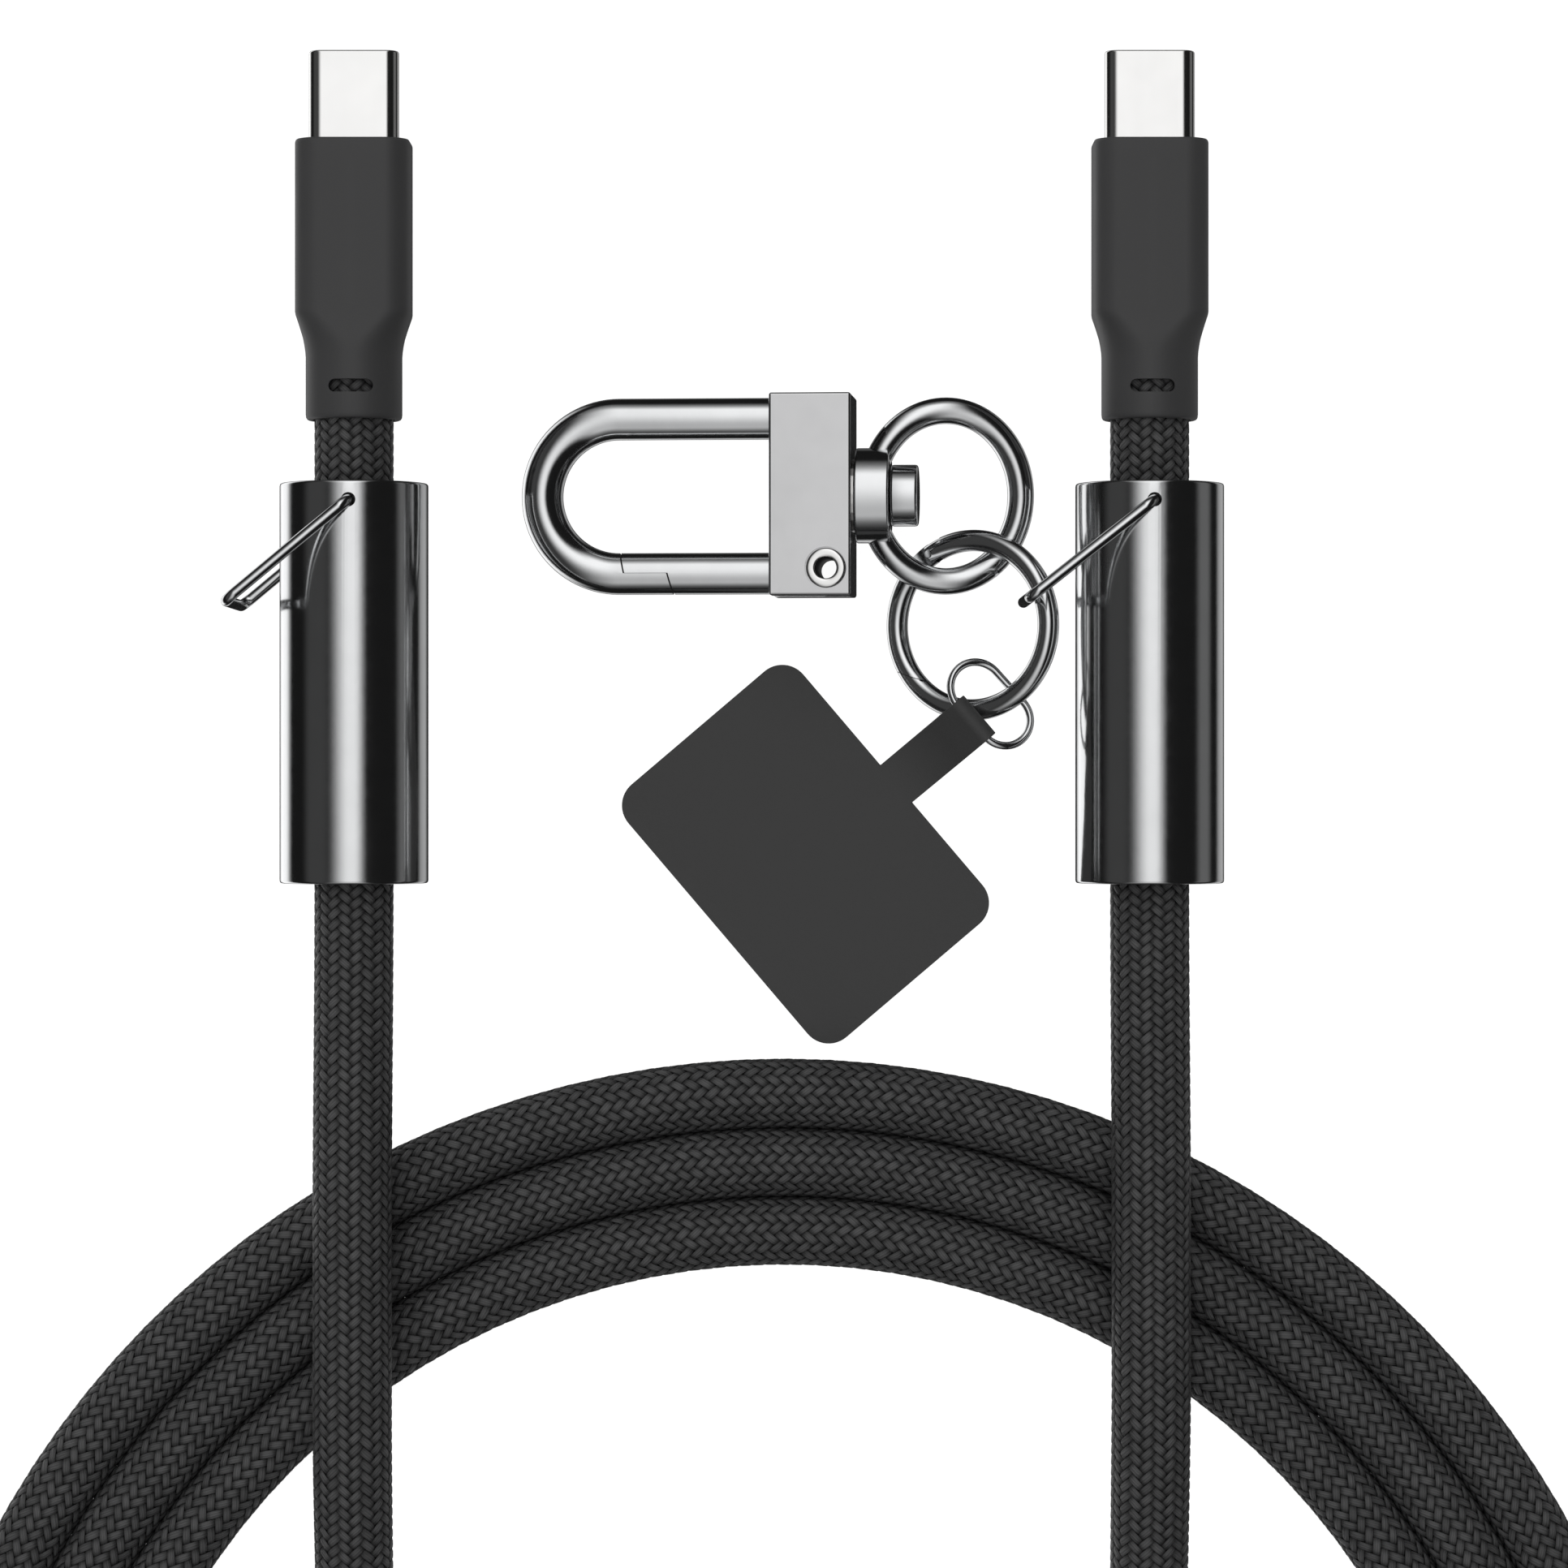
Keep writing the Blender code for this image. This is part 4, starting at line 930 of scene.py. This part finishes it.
def bail(side):
    place = Matrix.Translation((AXIS_X[side], BARREL_END_Y + HOLE_AT, AXIS_Z))
    place = place @ Matrix.Rotation(BAIL_TURN[side], 4, "Z")
    r = BAIL_CORNER
    half = [(0.0, 6.05), (0.0, 6.3), (0.0, BAIL_STAND - r)]
    half += arc((r, BAIL_STAND - r), r, pi, pi / 2, 10)[1:]
    half += arc((BAIL_REACH - r, BAIL_STAND - r), r, pi / 2, 0.0, 10)
    path = [(x, 0.0, z) for x, z in half] + [(x, 0.0, -z) for x, z in reversed(half)]
    stirrup = wire("bail", path, BAIL_WIRE, place, 24, round_ends=True)
    done(stirrup, black_nickel, f"{side}_bail", [f"bail_{side}"])


for side in ("left", "right"):
    barrel(side)
    bail(side)

# %% [markdown]
# ## The clasp
# The clasp is a cast box that carries a fixed hook bent from rod and a gate that swings in on
# a hollow pin. The two rods meet in a stepped joint. The box turns on a rivet in the hub of an
# oval ring. Everything is built along the clasp's own axis, which leans a little, and then
# brought to its place.

# %% Clasp
HUB_CENTRE = (13.73, 5.2, 5.26)
clasp_place = Matrix.Translation(HUB_CENTRE) @ Matrix.Rotation(radians(-4.5), 4, "Y")
BOX_X, BOX_HALF = (-9.45, -1.85), (9.37, 4.5)
ROD, SPREAD, BEND_X = 1.945, 7.22, -23.8
PIN_AT = (-4.15, -6.85)


def latch_line(gap):
    """The stepped line where hook and gate meet."""
    line = [(-23.75, 2.4), (-23.2, 0.02), (-19.15, 0.02), (-18.5, -2.4)]
    return [(x + gap, y - SPREAD + gap * 0.25) for x, y in line]


def clasp_box():
    (left, far), (half, tall) = BOX_X, BOX_HALF
    outline = [(left, -half), (far, -half), (far, half), (left, half)]
    body = bevelled(slab("box", outline, -tall, tall, clasp_place), 0.24, 4)
    right, top = PIN_AT[0] + 1.95, PIN_AT[1] + 2.3
    outline = [(-10.5, -10.3), (right, -10.3), (right, top), (-10.5, top + 3.2)]
    slot = slab("slot", outline, -2.1, 2.1, clasp_place)
    socket = bar(ROD + 0.05, -10.5, -4.6, "X", (0, SPREAD, 0), clasp_place)
    bore = bar(1.4, -6, 6, "Z", (*PIN_AT, 0), clasp_place)
    upper = bar(1.95, tall - 0.7, 6, "Z", (*PIN_AT, 0), clasp_place, 96)
    lower = bar(1.95, -6, 0.7 - tall, "Z", (*PIN_AT, 0), clasp_place, 96)
    rivet = bar(1.6, -6.6, 0, "X", place=clasp_place)
    body = cut(body, slot, socket, bore, upper, lower, rivet)
    done(body, grey_nickel, "clasp", ["clasp_body"], 30.0)


def clasp_hook():
    bend = arc((BEND_X, 0.0), SPREAD, pi / 2, 1.5 * pi, 48)
    path = [(-4.7, SPREAD), (-12.0, SPREAD), *bend, (-18.2, -SPREAD)]
    rod = wire("hook", [(x, y, 0.0) for x, y in path], ROD, clasp_place, 48)
    outline = latch_line(-0.07) + [(-15, -SPREAD - 2.4), (-15, -SPREAD + 2.4)]
    rod = cut(rod, slab("step", outline, -3, 3, clasp_place))
    done(rod, black_nickel, "clasp", ["clasp_hook"], 50.0)


def clasp_gate():
    place = clasp_place @ Matrix.Translation((*PIN_AT, 0.0))
    x0, y0 = PIN_AT
    rod = bar(ROD, -24.4 - x0, -0.6, "X", (0, -SPREAD - y0, 0), place, 48)
    outline = [(-30, -SPREAD + 2.4), *latch_line(0.07), (-30, -SPREAD - 2.4)]
    step = slab("step", [(x - x0, y - y0) for x, y in outline], -3, 3, place)
    corners = [(-2.2, -4), (4, -4), (4, 4), (-2.2, 4)]
    flats = [slab("flat", corners, low, high, place) for low, high in ((1.15, 3), (-3, -1.15))]
    rod = cut(rod, step, *flats)
    rod = cut(rod, bar(1.86, -1.15, 1.15, "Z", place=place), operation="UNION")
    rod = cut(rod, bar(1.4, -3, 3, "Z", place=place))
    done(rod, black_nickel, "clasp_gate_arm", ["clasp_gate"], 50.0)


def hollow_pin():
    top, head = BOX_HALF[1] - 0.06, BOX_HALF[1] - 0.64
    upper = [(1.3, head), (1.84, head), (1.84, top), (0.98, top)]
    outline = upper + [(r, -h) for r, h in reversed(upper)]
    place = clasp_place @ Matrix.Translation((*PIN_AT, 0))
    pin = turned("pin", softened(outline, 0.26, 5), place, "Z", 96)
    pin = done(pin, bright_nickel, "clasp", ["gate_pin"], 60.0)
    # The faces inside the pin's bore get the black plastic finish: painted shade in the hollow of
    # the metal pin.
    pin.data.materials.append(hard_black)
    middle = clasp_place @ Vector((*PIN_AT, 0))
    for face in pin.data.polygons:
        away = clasp_place.to_3x3().inverted() @ (face.center / MM - middle)
        if Vector((away.x, away.y)).length < 1.12 and abs(away.z) < top - 0.3:
            face.material_index = 1


def hub_and_rivet():
    outline = [(4.43, -1.58), (1.65, -1.58), (1.65, 1.58), (4.43, 1.58)]
    hub = turned("hub", softened(outline, 0.2), clasp_place, "X", 96)
    place = Matrix.Translation(HUB_CENTRE) @ Matrix.Rotation(radians(5), 4, "Y")
    place = place @ Matrix.Rotation(radians(3), 4, "X")
    start = pi - asin(2.9 / 7.95)
    turns = [start - 2 * start * k / 88 for k in range(89)]
    path = [(6.8 + 7.03 * cos(t), 7.95 * sin(t), 0.0) for t in turns]
    hub = cut(hub, wire("oval", path, 1.235, place, 40), operation="UNION")
    done(hub, black_nickel, "swivel", ["swivel_ring"], 34.0)
    profile = [(0.01, -6.3), (1.5, -6.3), (1.5, 1.66), (2.87, 1.66), (2.87, 4.2), (0.01, 4.2)]
    profile = softened(profile, 0.3, 4, closed=False)
    rivet = turned("rivet", profile, clasp_place, "X", 96, ring=False)
    done(rivet, black_nickel, "clasp", ["swivel_rivet"], 40.0)


clasp_box()
clasp_hook()
clasp_gate()
hollow_pin()
hub_and_rivet()
dress("gate_spring", spring_steel)
dress("swivel_washer", spring_steel)

# %% [markdown]
# ## The spring ring and the link ring
# The spring ring is round wire with a sprung gate on its left side. The line where the gate
# meets the body slants the way the gate moves, so that it can open inwards. It leans against
# the bail, and a small oval link ring hangs on its lower right.

# %% Rings
ring_place = Matrix.Translation((22.95, -6.85, 4.95)) @ Matrix.Rotation(radians(-29), 4, "Y")
RING, RING_WIRE = 7.9, 1.0
GATE_FROM, GATE_TO = radians(122), radians(216)
GATE_PIVOT = (RING * cos(GATE_FROM), RING * sin(GATE_FROM))
link_place = Matrix.Translation((24.6, -14.2, 6.12))
link_place = link_place @ Matrix.Rotation(radians(-48.3), 4, "Z")
link_place = link_place @ Matrix.Rotation(radians(-18.5), 4, "X")


def ring_wire(start, end, steps):
    path = [(x, y, 0.0) for x, y in arc((0, 0), RING, start, end, steps)]
    return wire("ring", path, RING_WIRE, ring_place, 40)


def split_outline(gap, reach):
    """A slanting parting line across the wire, closed off to one side."""
    out = Vector((cos(GATE_TO), sin(GATE_TO)))
    along = Vector((-sin(GATE_TO), cos(GATE_TO)))
    outer = out * (RING + 1.4) + along * (gap - 1.89)
    inner = out * (RING - 1.4) + along * (gap + 1.89)
    return [outer, inner, inner + along * reach, outer + along * reach]


def spring_ring():
    px, py = GATE_PIVOT
    body = ring_wire(GATE_TO - 0.26, 2 * pi + GATE_FROM + 0.02, 120)
    corners = [(-1.5, -1.5), (1.15, -1.5), (1.15, 1.5), (-1.5, 1.5)]
    corners = [(px + x, py + y) for x, y in corners]
    body = cut(body, slab("split", split_outline(0.05, -4), -2, 2, ring_place))
    body = cut(body, slab("fork", corners, -0.52, 0.52, ring_place))
    body = cut(body, bar(0.42, -2, 2, "Z", (px, py, 0), ring_place, 32))
    done(body, black_nickel, "spring_ring", ["ring_body"], 50.0)
    gate = ring_wire(GATE_FROM - 0.02, GATE_TO + 0.26, 48)
    gate = cut(gate, slab("split", split_outline(-0.05, 4), -2, 2, ring_place))
    for low, high in ((0.42, 2), (-2, -0.42)):
        gate = cut(gate, bar(1.75, low, high, "Z", (px, py, 0), ring_place))
    gate = cut(gate, bar(0.42, -2, 2, "Z", (px, py, 0), ring_place, 32))
    done(gate, black_nickel, "ring_gate_arm", ["ring_gate"], 50.0)


def link_ring():
    path = arc((1.9, 0.0), 2.54, -pi / 2, pi / 2, 24) + arc((-1.9, 0.0), 2.54, pi / 2, 1.5 * pi, 24)
    ring = wire("link", [(x, y, 0.0) for x, y in path], 0.36, link_place, 20, closed=True)
    done(ring, black_nickel, "link", ["link_ring"])


spring_ring()
link_ring()
dress("ring_gate_pin", black_nickel)

# %% [markdown]
# ## The tether tab
# The tab is cut from thin flexible sheet: a patch with round corners that lies flat, and a
# tongue that rises to the link ring, turns round its leg and is welded back on itself. One
# side view of the tongue, drawn out to its width, makes the loop, and it is joined to the
# patch. A rounded edge keeps the cut sheet from looking like card.

# %% Tab
TAB_THICK, TAB_SIZE, TAB_CORNER = 0.45, (31.2, 21.6), 2.6
TONGUE_WIDTH, TONGUE_LENGTH, LOOP_BORE, LAP = 4.6, 17.0, 0.55, 3.6
tab_place = Matrix.Translation((7.42, -28.25, 0.05)) @ Matrix.Rotation(radians(-49.6), 4, "Z")


def tongue_side(leg_y, leg_z):
    """The tongue seen from its side: up to the leg, round it and back underneath."""
    outer, slit, root = LOOP_BORE + TAB_THICK, 0.03, TAB_SIZE[1] / 2
    rise = atan2(leg_z - TAB_THICK, leg_y - root - 0.2)
    ahead, up = Vector((cos(rise), sin(rise))), Vector((-sin(rise), cos(rise)))
    leg = Vector((leg_y, leg_z))
    spokes = [cos(t) * ahead + sin(t) * up for t in (pi * k / 20 - pi / 2 for k in range(21))]
    throat = leg - ahead * 1.9
    lap_end = leg - outer * up - ahead * (LAP - 0.6)
    points = [Vector((root - 0.3, 0.0)), Vector((root - 0.3, TAB_THICK))]
    points += [leg + outer * up - ahead * 3.0]
    points += [leg + outer * spoke for spoke in reversed(spokes)]
    points += [lap_end, lap_end + up * TAB_THICK]
    points += [throat - up * slit - ahead * 0.9, throat - up * slit]
    points += [leg + LOOP_BORE * spokes[0] - ahead * 0.6]
    points += [leg + LOOP_BORE * spoke for spoke in spokes[1:]]
    points += [leg + LOOP_BORE * up - ahead, throat + up * slit, throat - ahead * 1.9 + up * 0.04]
    points += [Vector((root + 0.55, 0.0))]
    return points


def tether_tab():
    outline = rounded_outline(TAB_SIZE[0] / 2, TAB_SIZE[1] / 2, TAB_CORNER)
    patch = slab("patch", outline, 0.0, TAB_THICK, tab_place)
    leg = tab_place.inverted() @ (link_place @ Vector((0.0, -2.54, 0.0)))
    side_view = tongue_side(leg.y, leg.z)
    rings = [[Vector((leg.x + s * TONGUE_WIDTH / 2, p.x, p.y)) for p in side_view] for s in (-1, 1)]
    tab = cut(patch, loft("tongue", rings, tab_place), operation="UNION")
    tab = bevelled(tab, 0.07, 2, 50.0)
    done(tab, tab_skin, "tab", ["tether_tab"], 40.0)


tether_tab()

# %% [markdown]
# ## The end
# The last line puts the braid pieces and the right plug's parts in one list, and nothing
# is done with it.

# %% Braid and plug list
braids + plug_parts["right"]
